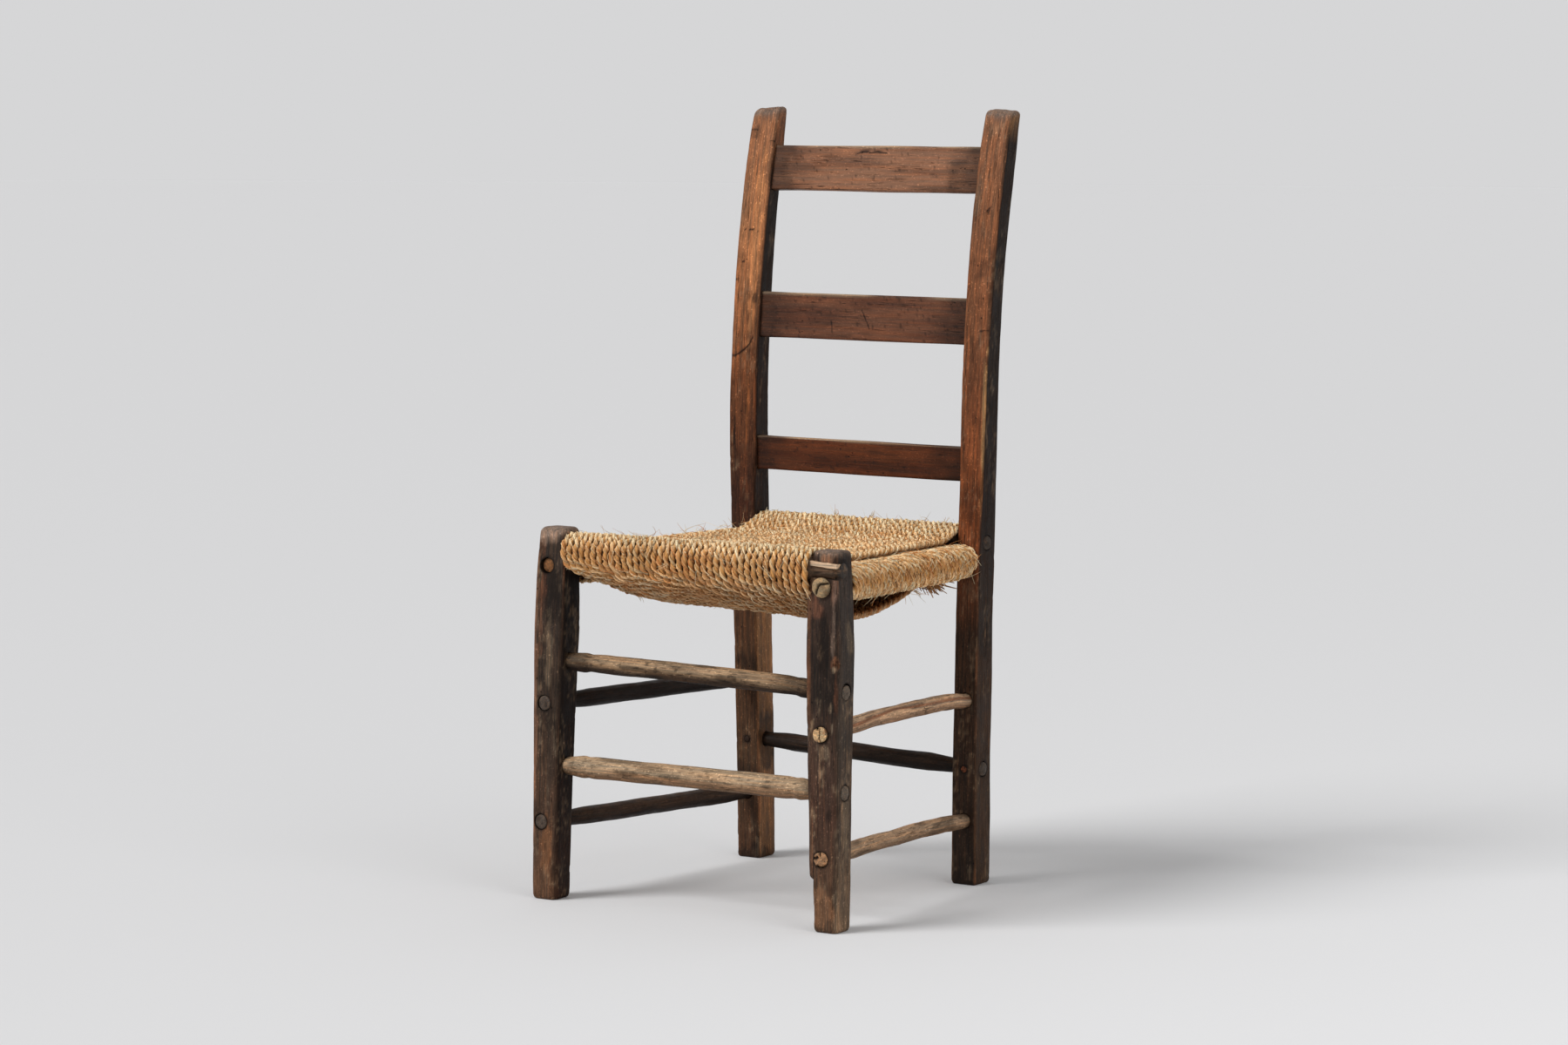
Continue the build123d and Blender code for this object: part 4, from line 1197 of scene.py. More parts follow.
def fibres(roots, ways, curls, lengths, thickness):
    """Thin curved fibres that taper to their tips: points, quads and grain."""
    rings = 9
    share = np.linspace(0, 1, rings)[:, None]
    line = roots[:, None] + lengths[:, None, None] * (ways[:, None] * share + curls[:, None] * share**2)
    run = unit(np.gradient(line, axis=1))
    side = np.cross(run, curls[:, None] + 0.01 * UP)
    side /= np.linalg.norm(side, axis=2)[..., None] + 1e-9
    rise = np.cross(side, run)
    angle = np.array([0.5, 2.6, 4.7])[:, None]
    spoke = np.cos(angle) * side[:, :, None] + np.sin(angle) * rise[:, :, None]
    corners = line[:, :, None] + spoke * (thickness[:, None] * (1 - 0.65 * share[:, 0]))[..., None, None]
    base = np.arange(len(roots))[:, None, None] * rings * 3 + np.arange(rings - 1)[None, :, None] * 3
    place = np.arange(3)
    ahead = (place + 1) % 3
    quads = np.stack([base + place, base + ahead, base + ahead + 3, base + place + 3], -1).reshape(-1, 4)
    lay = (np.arange(len(roots))[:, None] * 0.7, 0.3, share[None, :, 0] * lengths[:, None])
    grain = np.stack(np.broadcast_arrays(*lay), -1)
    return corners.reshape(-1, 3), quads, np.repeat(grain[:, :, None], 3, 2).reshape(-1, 3)


class CHAIR_PG_timber(bpy.types.PropertyGroup):
    """Finish of the legs, slats and rungs."""

    tint: FloatVectorProperty(
        name="Tint", description="Stain over all the timber", subtype="COLOR", default=(1, 1, 1), min=0, max=1
    )
    wear: FloatProperty(
        name="Wear", description="How far the legs' arrises are rubbed bare",
        subtype="FACTOR", default=1, min=0, max=1.5,
    )
    relief: FloatProperty(
        name="Relief", description="Strength of the grain's relief", subtype="FACTOR", default=0.6, min=0, max=1
    )


class CHAIR_PG_straw(bpy.types.PropertyGroup):
    """Sizes and colours of the straw cord."""

    turns_front_to_back: IntProperty(
        name="Front turns", description="Turns over the front and back rails", default=40, min=24
    )
    turns_side_to_side: IntProperty(
        name="Side turns", description="Turns over the side rails", default=36, min=24
    )
    cord_diameter: FloatProperty(
        name="Cord diameter", description="Thickness of one twisted cord",
        default=8.9 * MM, unit="LENGTH", precision=4,
    )
    roll_radius: FloatProperty(
        name="Roll radius", description="From a rail's middle to the cord's",
        default=18 * MM, unit="LENGTH", precision=4,
    )
    straws: IntProperty(
        name="Straws", description="Straws side by side round one cord", default=8, min=4
    )
    straw_length: FloatProperty(
        name="Straw length", description="Usual length of a straw", default=0.08, unit="LENGTH"
    )
    straw_width: FloatProperty(
        name="Straw width", description="Width of a flattened straw", default=2.8 * MM, unit="LENGTH", precision=4
    )
    lean: FloatProperty(
        name="Lean", description="How many turns forward a cord drifts down the side rolls", default=1.2, min=0
    )
    twist: FloatProperty(
        name="Twist", description="Length of cord in one full twist", default=22 * MM, unit="LENGTH", precision=4
    )
    pale: FloatVectorProperty(
        name="Pale straw", description="Faded straw", subtype="COLOR", default=srgb(255, 235, 194), min=0, max=1
    )
    ripe: FloatVectorProperty(
        name="Ripe straw", description="Most of the straw", subtype="COLOR", default=srgb(255, 210, 154), min=0, max=1
    )
    deep: FloatVectorProperty(
        name="Deep straw", description="Stained straw", subtype="COLOR", default=srgb(220, 154, 94), min=0, max=1
    )


class CHAIR_PG_stage(bpy.types.PropertyGroup):
    """Camera, floor and light."""

    lens: FloatProperty(
        name="Lens", description="Focal length in millimetres", default=100, min=10
    )
    distance: FloatProperty(
        name="Distance", description="From the chair to the camera", default=5.1006, unit="LENGTH"
    )
    azimuth: FloatProperty(
        name="Azimuth", description="Turn of the camera to the right", default=math.radians(32.21), unit="ROTATION"
    )
    pitch: FloatProperty(
        name="Pitch", description="Height of the camera's view", default=math.radians(5.26), unit="ROTATION"
    )
    roll: FloatProperty(
        name="Roll", description="Tilt of the picture", default=math.radians(0.29), unit="ROTATION"
    )
    target: FloatVectorProperty(
        name="Target", description="Middle of the picture", subtype="TRANSLATION", default=(0.0090, -0.02236, 0.4373)
    )
    floor: FloatVectorProperty(
        name="Floor", description="Colour of the floor", subtype="COLOR", default=srgb(226, 226, 227), min=0, max=1
    )
    key: FloatProperty(
        name="Key light", description="Strength of the main light", default=2.3, min=0
    )
    fill: FloatProperty(
        name="Fill light", description="Power of the lamp on the right", default=22, unit="POWER"
    )
    sky: FloatProperty(
        name="Sky", description="Strength of the soft light from all round", default=0.42, min=0
    )


LEG_HEIGHTS = [0.004, 0.1, 0.2, 0.32, 0.392, 0.428]
POST_HEIGHTS = [0.004] + [0.05 * k for k in range(1, 18)] + [0.88, 0.916]

# The legs' faces are coloured from the foot up: height in mm, then red, green and blue as they look on a screen
# The darkest right faces are partly soot and partly painted shade, where those faces turn away from the key light.
LOOKS = {
    "front_leg_left": Look(
        3,
        LEG_HEIGHTS,
        {
            "front": [(0, 92, 68, 52), (110, 72, 55, 44), (250, 54, 44, 37), (390, 60, 51, 45)],
            "right": [(0, 50, 34, 26), (120, 32, 21, 17), (380, 19, 14, 12), (420, 80, 60, 50)],
            "back": [(0, 74, 54, 42), (400, 60, 46, 38)],
            "left": [(0, 104, 70, 50), (200, 98, 66, 48), (400, 88, 66, 54)],
        },
        bow=(-1, 0),
        crown=8,
        lift=3.6,
        sliver=(-40, 470, 2.8),
        soft=3.4,
    ),
    "front_leg_right": Look(
        8,
        LEG_HEIGHTS,
        {
            "front": [
                (0, 80, 62, 49), (60, 82, 63, 50), (130, 68, 49, 40),
                (200, 70, 53, 44), (265, 38, 31, 27), (390, 58, 46, 40),
            ],
            "right": [(0, 130, 110, 90), (110, 80, 67, 57), (210, 76, 65, 56), (300, 62, 55, 50), (400, 62, 54, 49)],
            "back": [(0, 74, 54, 42), (400, 60, 46, 38)],
            "left": [(0, 84, 62, 48), (200, 60, 46, 38), (400, 56, 44, 38)],
        },
        crown=6,
        worn=0.45,
        soot=0.45,
        scraped=0.4,
        lift=-3.2,
        sliver=(62, 425, 5.4),
        soft=3.4,
    ),
    "rear_post_left": Look(
        14,
        POST_HEIGHTS,
        {
            "front": [
                (0, 74, 52, 38), (130, 72, 53, 38), (330, 82, 56, 38), (440, 64, 38, 26),
                (600, 108, 67, 42), (760, 154, 106, 72), (920, 146, 101, 72),
            ],
            "right": [
                (0, 128, 94, 66), (300, 158, 118, 82), (372, 140, 102, 68), (430, 40, 27, 21),
                (840, 36, 28, 24), (872, 112, 74, 50), (920, 124, 84, 60),
            ],
            "back": [(0, 66, 48, 36), (450, 80, 54, 40), (920, 110, 78, 58)],
            "left": [(0, 70, 50, 38), (450, 88, 58, 42), (750, 126, 84, 60), (920, 120, 84, 62)],
        },
        crown=8,
        tilt=(0.1, 0.06),
        worn=0.6,
        soot=0.4,
        scraped=0.2,
        lift=4.5,
    ),
    "rear_post_right": Look(
        19,
        POST_HEIGHTS,
        {
            "front": [
                (0, 38, 29, 23), (300, 66, 47, 35), (430, 116, 66, 38),
                (600, 112, 70, 46), (780, 124, 82, 56), (920, 128, 88, 63),
            ],
            "right": [(0, 70, 53, 40), (200, 64, 48, 37), (430, 34, 24, 19), (880, 36, 28, 23), (908, 112, 84, 58)],
            "back": [(0, 58, 44, 34), (450, 76, 52, 40), (920, 106, 76, 58)],
            "left": [(0, 72, 50, 37), (450, 88, 58, 42), (920, 124, 84, 60)],
        },
        tilt=(-0.08, 0.12),
        worn=0.55,
        soot=0.4,
        scraped=0.2,
        lift=2.2,
    ),
}

FRONT_WAY = (0, -1, 0)
RIGHT_WAY = (1, 0, 0)
ALL_ROUND = (0, 0, 0)
PIT = SOOT * 0.5

# Small pits in the left post's front face, in mm: place, width and height
PITS = (
    ((-172.3, 174, 774), 1.5, 1.8),
    ((-164.2, 174, 773.7), 1.5, 1.6),
    ((-160.8, 174, 774.2), 1.6, 1.5),
    ((-153.7, 173, 770), 1.4, 1.6),
    ((-170.5, 167, 734), 1.9, 2.1),
    ((-158.8, 167, 732.5), 1.2, 1.3),
    ((-180, 164, 713), 2, 1.8),
)

# Marks on the legs, in mm: place, size, the way the face looks, colour and strength
MARKS = {
    "front_leg_left": [
        ((-186, -219, 365), (17, 9, 44), FRONT_WAY, SOOT, 0.75),
        ((-196, -219, 378), (4, 9, 60), FRONT_WAY, RUST, 0.5),
        ((-188, -214, 432), (26, 16, 10), ALL_ROUND, srgb(160, 141, 128), 0.6),
        ((-188, -214, 432), (26, 16, 19), ALL_ROUND, srgb(150, 130, 116), 0.4),
        ((-187, -219, 283), (7, 9, 40), FRONT_WAY, DUST * 0.85, 0.32),
        ((-200, -219, 330), (5, 9, 60), FRONT_WAY, srgb(110, 78, 60), 0.45),
        # Painted highlight: a pale line of rim light along the left front arris.
        ((-207, -220, 230), (4.5, 6, 190), ALL_ROUND, srgb(132, 98, 78), 0.55),
        ((-172.5, -217, 148), (1.1, 3, 8), ALL_ROUND, srgb(126, 122, 112), 0.9),
        ((-183, -221, 215), (9, 9, 22), FRONT_WAY, SOOT, 0.45),
        ((-190, -222, 60), (9, 9, 42), FRONT_WAY, HONEY * 0.7, 0.4),
        ((-174, -204, 127), (3, 2.6, 3.2), RIGHT_WAY, PIT, 0.95),
    ],
    "front_leg_right": [
        ((175, -219, 364), (11, 8, 14), FRONT_WAY, srgb(98, 68, 54), 0.75),
        ((199, -220, 347), (2.2, 8, 44), ALL_ROUND, srgb(118, 100, 88), 0.7),
        ((186, -221, 320), (9, 8, 44), FRONT_WAY, SOOT * 0.8, 0.75),
        ((202, -220, 305), (5, 5, 8), ALL_ROUND, srgb(116, 80, 58), 0.8),
        ((201, -220, 298), (3, 5, 3.4), ALL_ROUND, DUST, 0.7),
        ((203, -220, 268), (2.2, 4, 30), ALL_ROUND, RUST, 0.5),
        ((206, -209, 269), (3, 4.5, 5), RIGHT_WAY, PIT, 0.9),
        ((205, -196, 330), (4, 8, 30), RIGHT_WAY, DUST * 0.7, 0.35),
        ((206, -204, 120), (4, 10, 40), RIGHT_WAY, DUST * 0.8, 0.4),
        ((190, -222, 203), (10, 8, 9), FRONT_WAY, DUST * 0.75, 0.35),
        ((197, -222, 252), (3, 8, 7), FRONT_WAY, DUST, 0.5),
        ((199, -222, 232), (2.4, 8, 8), FRONT_WAY, DUST, 0.45),
        ((196, -222, 133), (4.5, 8, 7), FRONT_WAY, SOOT, 0.6),
        ((190, -223, 30), (16, 8, 24), FRONT_WAY, srgb(126, 94, 70), 0.5),
        ((191, -217, 421), (11, 9, 8), FRONT_WAY, srgb(128, 98, 78), 0.8),
        ((200, -220, 388), (6, 8, 24), FRONT_WAY, srgb(112, 87, 74), 0.65),
    ],
    "rear_post_left": [
        # Honey down the right half of the front face: partly the wood's own colour, partly a painted highlight where
        # the rounded inner arris catches the light.
        ((-155, 165, 770), (9, 40, 150), FRONT_WAY, srgb(178, 124, 82), 0.6),
        ((-148, 150, 500), (4, 20, 62), FRONT_WAY, SOOT, 0.4),
        ((-154, 152, 560), (2.6, 20, 50), FRONT_WAY, srgb(150, 92, 52), 0.5),
        ((-172, 151, 526), (1.6, 8, 14), FRONT_WAY, SOOT, 0.85),
        *((place, (width, 8, height), FRONT_WAY, PIT, 1) for place, width, height in PITS),
        ((-174, 198, 892), (9, 20, 10), FRONT_WAY, SOOT, 0.4),
        ((-149, 160, 690), (6, 12, 9), FRONT_WAY, SOOT, 0.7),
        ((-136, 172, 148), (8, 30, 48), RIGHT_WAY, SOOT, 0.7),
        ((-154, 157, 242), (22, 14, 17), FRONT_WAY, SOOT, 0.55),
        ((-154, 157, 112), (22, 14, 15), FRONT_WAY, SOOT, 0.5),
        ((-152, 160, 2), (34, 34, 16), ALL_ROUND, SOOT, 0.6),
    ],
    "rear_post_right": [
        # Honey strips by the right arris: partly the wood's own colour, partly a painted highlight along that arris.
        ((191.5, 131, 560), (3.6, 40, 88), FRONT_WAY, srgb(150, 118, 82), 0.85),
        ((190, 128, 470), (3.4, 40, 30), FRONT_WAY, srgb(138, 92, 56), 0.6),
        ((174, 132, 640), (8, 20, 22), FRONT_WAY, SOOT, 0.35),
        ((178, 145, 735), (9, 20, 20), FRONT_WAY, SOOT, 0.4),
        ((187.7, 146, 410), (4, 9, 9), RIGHT_WAY, srgb(88, 80, 74), 0.6),
    ],
}

# Checks in the posts' front faces, in mm: points across and up the face, width and depth
CHECKS = {
    "rear_post_left": [
        (((-181, 619), (-173, 620.5), (-167, 623.7), (-161, 628), (-155, 633), (-151.5, 640), (-149.6, 643)), 1.7, 4),
        (((-184, 893), (-177, 895.5), (-170, 894)), 1.6, 3),
        (((-152, 881), (-147, 881.4), (-140, 880)), 1.4, 3),
        (((-172, 545), (-171.5, 530), (-172.4, 512)), 1.2, 2.5),
    ],
    "rear_post_right": [
        (((181, 660), (187, 662), (196, 661)), 1.0, 2),
        (((176, 800), (181, 806), (179, 797)), 1.1, 2),
    ],
}


def face_lines(node):
    """The checks in the front face of a leg, as lines of points with a width and a depth."""
    heights = LOOKS[node].heights
    middle, half = leg_sections(node, heights)
    front = middle[:, 1] - half[:, 1]
    lines = []
    for line, width, depth in CHECKS.get(node, ()):
        points = np.array([(x * MM, np.interp(z * MM, heights, front), z * MM) for x, z in line])
        lines.append((points, width * MM, depth * MM))
    return lines


def leg_cutters(node):
    """Everything that is cut out of a leg's sides: its joints and its checks."""
    return joint_cutters(node) + [crack_cutter(line, FRONT_WAY, *size) for line, *size in face_lines(node)]


def crown_check(node, spread=11 * MM):
    """A check across the end grain of a leg's top."""
    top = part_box(node)[1].z
    x, y = leg_sections(node, [top - 6 * MM])[0][0]
    points = [(x + spread * k, y + 2 * MM * (-1) ** place, top) for place, k in enumerate(np.linspace(-1, 1, 4))]
    return crack_cutter(points, UP, 2 * MM, 5 * MM)


class CHAIR_OT_front_legs(bpy.types.Operator):
    """Hew the two front legs, cut their mortises and the broken place, and colour them"""

    bl_idname = "chair.front_legs"
    bl_label = "Front legs"

    def execute(self, context):
        for node in FRONT_LEGS:
            piece = hewn_leg(node)
            cutters = leg_cutters(node) + [crown_check(node)]
            if node == OPEN_JOINT[0]:
                cutters += self.broken_place(node)
            carve(piece, cutters)
            finish_leg(piece, node, context.scene.chair_timber)
        return {"FINISHED"}

    def broken_place(self, node):
        """The break at the leg's top, where the rail's tenon shows, and the nick in the arris below it."""
        low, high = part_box(node)
        bottom = rod_axis("front_seat_rail")[0][2] - 12 * MM
        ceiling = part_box("front_rail_wedge")[1].z - 5.2 * MM
        middle = np.array([(low.x + high.x) / 2, low.y + 3 * MM, (bottom + ceiling) / 2])
        half = np.array([high.x - low.x, 9.5 * MM, (ceiling - bottom) / 2])
        slope = np.array([(0.998, 0, -0.066), (0, 1, 0), (0.066, 0, 0.998)])
        across, out = np.array([0.707, 0.707, 0]), np.array([0.707, -0.707, 0])
        turned = np.array([(across + UP) / math.sqrt(2), (across - UP) / math.sqrt(2), out])
        nick_place, nick_size = np.array([203.6, -218.6, 303]) * MM, np.array([4.4, 4.4, 2.6]) * MM
        return [box_cutter(middle, slope, half), box_cutter(nick_place, turned, nick_size)]


class CHAIR_OT_rear_posts(bpy.types.Operator):
    """Hew the two rear posts, cut their mortises and checks, and colour them"""

    bl_idname = "chair.rear_posts"
    bl_label = "Rear posts"

    def execute(self, context):
        for node in REAR_POSTS:
            piece = hewn_leg(node)
            carve(piece, leg_cutters(node))
            finish_leg(piece, node, context.scene.chair_timber)
        return {"FINISHED"}


# Each slat: seed, rubbed colour, deep colour, checks in its back as points along and up it in mm, and their width
SLAT_LOOKS = {
    "top_slat": (
        31, srgb(134, 97, 75), srgb(104, 73, 56), [((-30, 17.5), (-18, 20), (-8, 18.6), (2, 19.6), (16, 18.4))], 1.4
    ),
    "middle_slat": (
        34, srgb(102, 68, 51), srgb(74, 47, 36), [((0, 8), (5, 0), (13, -15)), ((-44, -6), (-42, -20))], 0.6
    ),
    "lower_slat": (
        37, srgb(90, 51, 31), srgb(54, 30, 20), [((10, 12), (9, 2), (11, -9))], 0.7
    ),
}


class CHAIR_OT_back_slats(bpy.types.Operator):
    """Shape the three slats of the back"""

    bl_idname = "chair.back_slats"
    bl_label = "Back slats"

    def execute(self, context):
        material = timber_material("slat_timber", context.scene.chair_timber)
        for node, look in SLAT_LOOKS.items():
            worn_slat(node, *look, material)
        return {"FINISHED"}


END_GREY = srgb(70, 62, 56)
RAIL_COLOURS = {"upper": srgb(92, 70, 54), "lower": srgb(58, 44, 35), "crook": 0.2}
RAIL_LOOKS = {
    # The front rail's colours are lighter than the other rails' to lift it out of the shade of the broken leg's
    # notch: painted light.
    "front_seat_rail": Rung(
        41,
        srgb(148, 122, 100),
        srgb(118, 96, 79),
        crook=0.2,
        ends=(END_GREY, srgb(62, 58, 55)),
        proud=(0, 1.3),
        heads=(None, (2.2, 8, 46)),
        droop=(0, -2.5),
    ),
    "back_seat_rail": Rung(44, **RAIL_COLOURS, ends=(END_GREY, END_GREY)),
    "left_seat_rail": Rung(47, **RAIL_COLOURS, tips=0.4, ends=(srgb(124, 88, 58), END_GREY)),
    "right_seat_rail": Rung(
        50,
        **RAIL_COLOURS,
        tips=1.0,
        ends=(srgb(158, 138, 108), END_GREY),
        dome=2.2,
        heads=((2.8, -3, 4), None),
        splits=((((11, 5.6), (4.5, 4.9), (0.5, 4.2), (-2.6, 1.4), (-4.2, -2.6), (-5.2, -7)), 1.9),),
    ),
}


class CHAIR_OT_seat_rails(bpy.types.Operator):
    """Round the four rails that carry the seat's cord"""

    bl_idname = "chair.seat_rails"
    bl_label = "Seat rails"

    def execute(self, context):
        material = timber_material("rail_timber", context.scene.chair_timber)
        for node, rail in RAIL_LOOKS.items():
            whittled_rung(node, rail, material, "rail_wood")
        return {"FINISHED"}


TIP_GREY = srgb(80, 71, 64)
TIP_DULL = srgb(104, 95, 86)
FRONT_HEADS = ((1.6, 36, 58), (1.4, 36, 56))
DARK_RUNG = {"crook": 0.2, "stain": 0.4, "ends": (TIP_GREY, TIP_GREY)}
RUNG_LOOKS = {
    "front_stretcher_upper": Rung(
        51,
        srgb(162, 137, 109),
        srgb(60, 48, 39),
        bow=(0, 1),
        crook=0.2,
        stain=0.66,
        ends=(TIP_GREY, TIP_DULL),
        droop=(0, -1.5),
        heads=FRONT_HEADS,
        sooty=(88, 108),
    ),
    "front_stretcher_lower": Rung(
        54,
        srgb(174, 152, 125),
        srgb(128, 102, 79) * 1.08,
        bow=(0, 0.5),
        crook=0.2,
        ends=(TIP_GREY, TIP_DULL),
        heads=FRONT_HEADS,
    ),
    "left_stretcher_upper": Rung(57, srgb(38, 29, 24), srgb(26, 20, 17), **DARK_RUNG),
    "left_stretcher_lower": Rung(60, srgb(66, 52, 42), srgb(36, 27, 22), **DARK_RUNG),
    "right_stretcher_upper": Rung(
        63,
        srgb(204, 174, 144),
        srgb(150, 122, 98),
        bow=(0, 5),
        crook=0.3,
        stain=0.45,
        tips=1.1,
        ends=(srgb(184, 158, 122), TIP_GREY),
        splits=((((-4.5, 10), (-3, 6.5)), 2.2), (((0, 7), (1, 2), (0, -4), (2, -9)), 0.8)),
        vein=srgb(124, 74, 48),
    ),
    "right_stretcher_lower": Rung(
        66,
        srgb(180, 152, 124),
        srgb(132, 106, 82),
        bow=(0, 3),
        crook=0.45,
        stain=0.45,
        tips=1.8,
        ends=(srgb(150, 118, 90), TIP_GREY),
        splits=(
            (((-9.5, 1.5), (-6, 1), (-4, 2.5)), 2.2),
            (((-4, -8), (2, -8.5), (7, -6)), 2.3),
            (((-1, 9), (0, 5)), 1.2),
        ),
    ),
    "rear_stretcher": Rung(69, srgb(54, 42, 34), srgb(32, 25, 21), **DARK_RUNG),
}


class CHAIR_OT_stretchers(bpy.types.Operator):
    """Whittle the seven rungs between the legs"""

    bl_idname = "chair.stretchers"
    bl_label = "Stretchers"

    def execute(self, context):
        for node, rung in RUNG_LOOKS.items():
            sort = "pale_rung" if node.startswith(("front", "right")) else "dark_rung"
            material = timber_material(f"{sort}_timber", context.scene.chair_timber)
            whittled_rung(node, rung, material, f"{sort}_wood")
        return {"FINISHED"}


PEG_COLOURS = (srgb(44, 32, 25), srgb(98, 58, 40), srgb(40, 29, 23))


class CHAIR_OT_pegs(bpy.types.Operator):
    """Drive in the pegs and wedges that lock the tenons"""

    bl_idname = "chair.pegs"
    bl_label = "Pegs and wedges"

    def execute(self, context):
        material = timber_material("peg_timber", context.scene.chair_timber)
        for place, (node, colour) in enumerate(zip(PEGS, PEG_COLOURS)):
            small_stick(node, 71 + place, colour, material)
        pale, dark = srgb(196, 172, 146), srgb(34, 24, 18)
        thin_wedge("front_rail_wedge", 76, pale, material, 0.16, (1.02, 1.0, 1.75), (0, -4.5, -6.4), 0.068)
        thin_wedge("right_rail_wedge", 79, dark, material, 0.1, (0.8, 1.0, 0.5), (0, 2.5, 0))
        return {"FINISHED"}


class CHAIR_OT_front_winding(bpy.types.Operator):
    """Wind the straw cord over the front and back rails"""

    bl_idname = "chair.front_winding"
    bl_label = "Cord, front to back"

    def execute(self, context):
        settings = context.scene.chair_straw
        wound_seat(FRONT_CORD, front_line(settings), settings, np.random.default_rng(5), 6)
        return {"FINISHED"}


class CHAIR_OT_side_winding(bpy.types.Operator):
    """Wind the straw cord over the side rails"""

    bl_idname = "chair.side_winding"
    bl_label = "Cord, side to side"

    def execute(self, context):
        settings = context.scene.chair_straw
        wound_seat(SIDE_CORD, side_line(settings), settings, np.random.default_rng(6), 5)
        return {"FINISHED"}


# Tufts of straw, in mm: place, number of fibres, the way and size of the bunch, and the fibres' length
TUFTS = (
    ((-41, 172, 429), 12, (2, 2, 5), 7),
    ((11, 168, 429), 16, (5, 2, 3), 10),
    ((86, 163, 428), 7, (4, 2, 4), 7),
    ((120, 160, 428), 8, (4, 0, 4), 8),
    ((143, 150, 425), 14, (6, -3, 4), 13),
    ((-158, 20, 413), 4, (-3, 3, 5), 15),
    ((-157, 60, 413), 2, (-3, -4, 6), 12),
    ((-153, 105, 413), 3, (-3, 2, 4), 14),
    ((-148, 132, 416), 6, (8, 5, 3), 14),
    ((-20, -222, 405), 10, (2, -4, -3), 14),
    ((52, -224, 414), 12, (3, -4, 4), 15),
    ((-98, -224, 412), 8, (3, -4, 2), 13),
    ((150, 18, 362), 8, (4, 5, -6), 15),
    ((150, 40, 360), 10, (5, 6, -6), 14),
    ((-130, -120, 352), 6, (4, 0, -5), 10),
    ((-40, -90, 346), 8, (4, 0, -5), 10),
    ((40, -80, 344), 10, (4, 0, -5), 11),
    ((110, -90, 342), 14, (4, 0, -5), 12),
    ((-163, -215, 392), 6, (-3, -2, -5), 8),
)
FRAYED_PLACE = np.array([150, 58, 374]) * MM
FRAYED_SPREAD = np.array([4, 5, 3]) * MM
FRAYED_STRAW = srgb(196, 138, 84)


class CHAIR_OT_loose_straw(bpy.types.Operator):
    """Let loose fibres, tufts and a frayed end stand off the cord"""

    bl_idname = "chair.loose_straw"
    bl_label = "Loose straw"

    def execute(self, context):
        settings = context.scene.chair_straw
        rng = np.random.default_rng(11)
        batches = [
            self.along(front_line(settings), rng, 460, settings, 0.0),
            self.along(side_line(settings), rng, 260, settings, 150 * MM),
        ]
        for place, count, spread, length in TUFTS:
            batches.append(self.tuft(np.array(place) * MM, count, np.array(spread) * MM, length * MM, rng))
        batches.append(self.frayed_end(rng, 170))
        frayed = len(batches[-1][0])
        roots, ways, curls, lengths, thickness = (np.concatenate(rows) for rows in zip(*batches))
        points, quads, grain = fibres(roots, ways, curls, lengths, thickness)
        piece = add_object("loose_straw", points, quads)
        shade = np.where(rng.random(len(roots))[:, None] < 0.6, settings.pale, settings.deep)
        shade = shade * rng.uniform(0.55, 1.0, len(roots))[:, None]
        shade[-frayed:] = FRAYED_STRAW * rng.uniform(0.3, 1.0, frayed)[:, None]
        dress(piece, grain, np.repeat(shade, len(points) // len(roots), 0), straw_material(), "straw_cord")
        return {"FINISHED"}

    def along(self, line, rng, count, settings, outside):
        """Fibres that lift off the outer side of a cord, beyond a distance from the middle."""
        picks = rng.uniform(0, line.length, 12 * count)
        roots, run, across, out = line.at(picks)
        seen = (np.abs(roots[:, 0]) > outside) & (out[:, 2] > -0.9)
        roots, run, across, out = (rows[seen][:count] for rows in (roots, run, across, out))
        each = (len(roots), 1)
        turn = rng.uniform(-1, 1, each)
        ways = unit(run * rng.choice([-1, 1], each) + across * turn + out * rng.uniform(0.05, 0.45, each))
        curls = 0.5 * rng.normal(0, 0.6, roots.shape) - out * rng.uniform(0, 0.35, each)
        lengths = rng.uniform(6, 21, len(roots)) * MM
        thickness = rng.uniform(0.22, 0.5, len(roots)) * MM
        return roots + out * settings.cord_diameter * 0.42, ways, curls, lengths, thickness

    def tuft(self, place, count, spread, length, rng):
        """A bunch of fibres that stand out from a place on the cord."""
        roots = place + spread * rng.normal(0, 0.25, (count, 3))
        ways = unit(unit(spread) + rng.normal(0, 0.45, (count, 3)))
        curls = rng.normal(0, 0.4, (count, 3))
        return roots, ways, curls, length * rng.uniform(0.5, 1.2, count), rng.uniform(0.25, 0.55, count) * MM

    def frayed_end(self, rng, count):
        """The end of a cord that hangs out under the right side roll and has come apart."""
        roots = FRAYED_PLACE + rng.normal(0, 1, (count, 3)) * FRAYED_SPREAD
        ways = unit(np.array([0.4, 0.85, -0.4]) + rng.normal(0, 0.2, (count, 3)))
        curls = np.array([0.05, 0.1, -0.12]) + rng.normal(0, 0.16, (count, 3))
        return roots, ways, curls, rng.uniform(10, 27, count) * MM, rng.uniform(0.9, 1.9, count) * MM


def stand(thing, data, right, above, back, place):
    """A camera or a lamp that stands at a place and looks along the way opposite to back."""
    holder = bpy.data.objects.new(thing, data)
    bpy.context.scene.collection.objects.link(holder)
    pose = np.eye(4)
    pose[:3] = np.stack([right, above, back, place], -1)
    holder.matrix_world = Matrix(pose.tolist())
    return holder


SUN_PLACE = (-1.7, -2.5, 2.9)
LAMP_PLACE = (2.9, -1.0, 1.9)
LIT_PLACE = np.array([0, 0, 0.45])
BACKDROP_STRENGTH = 0.884


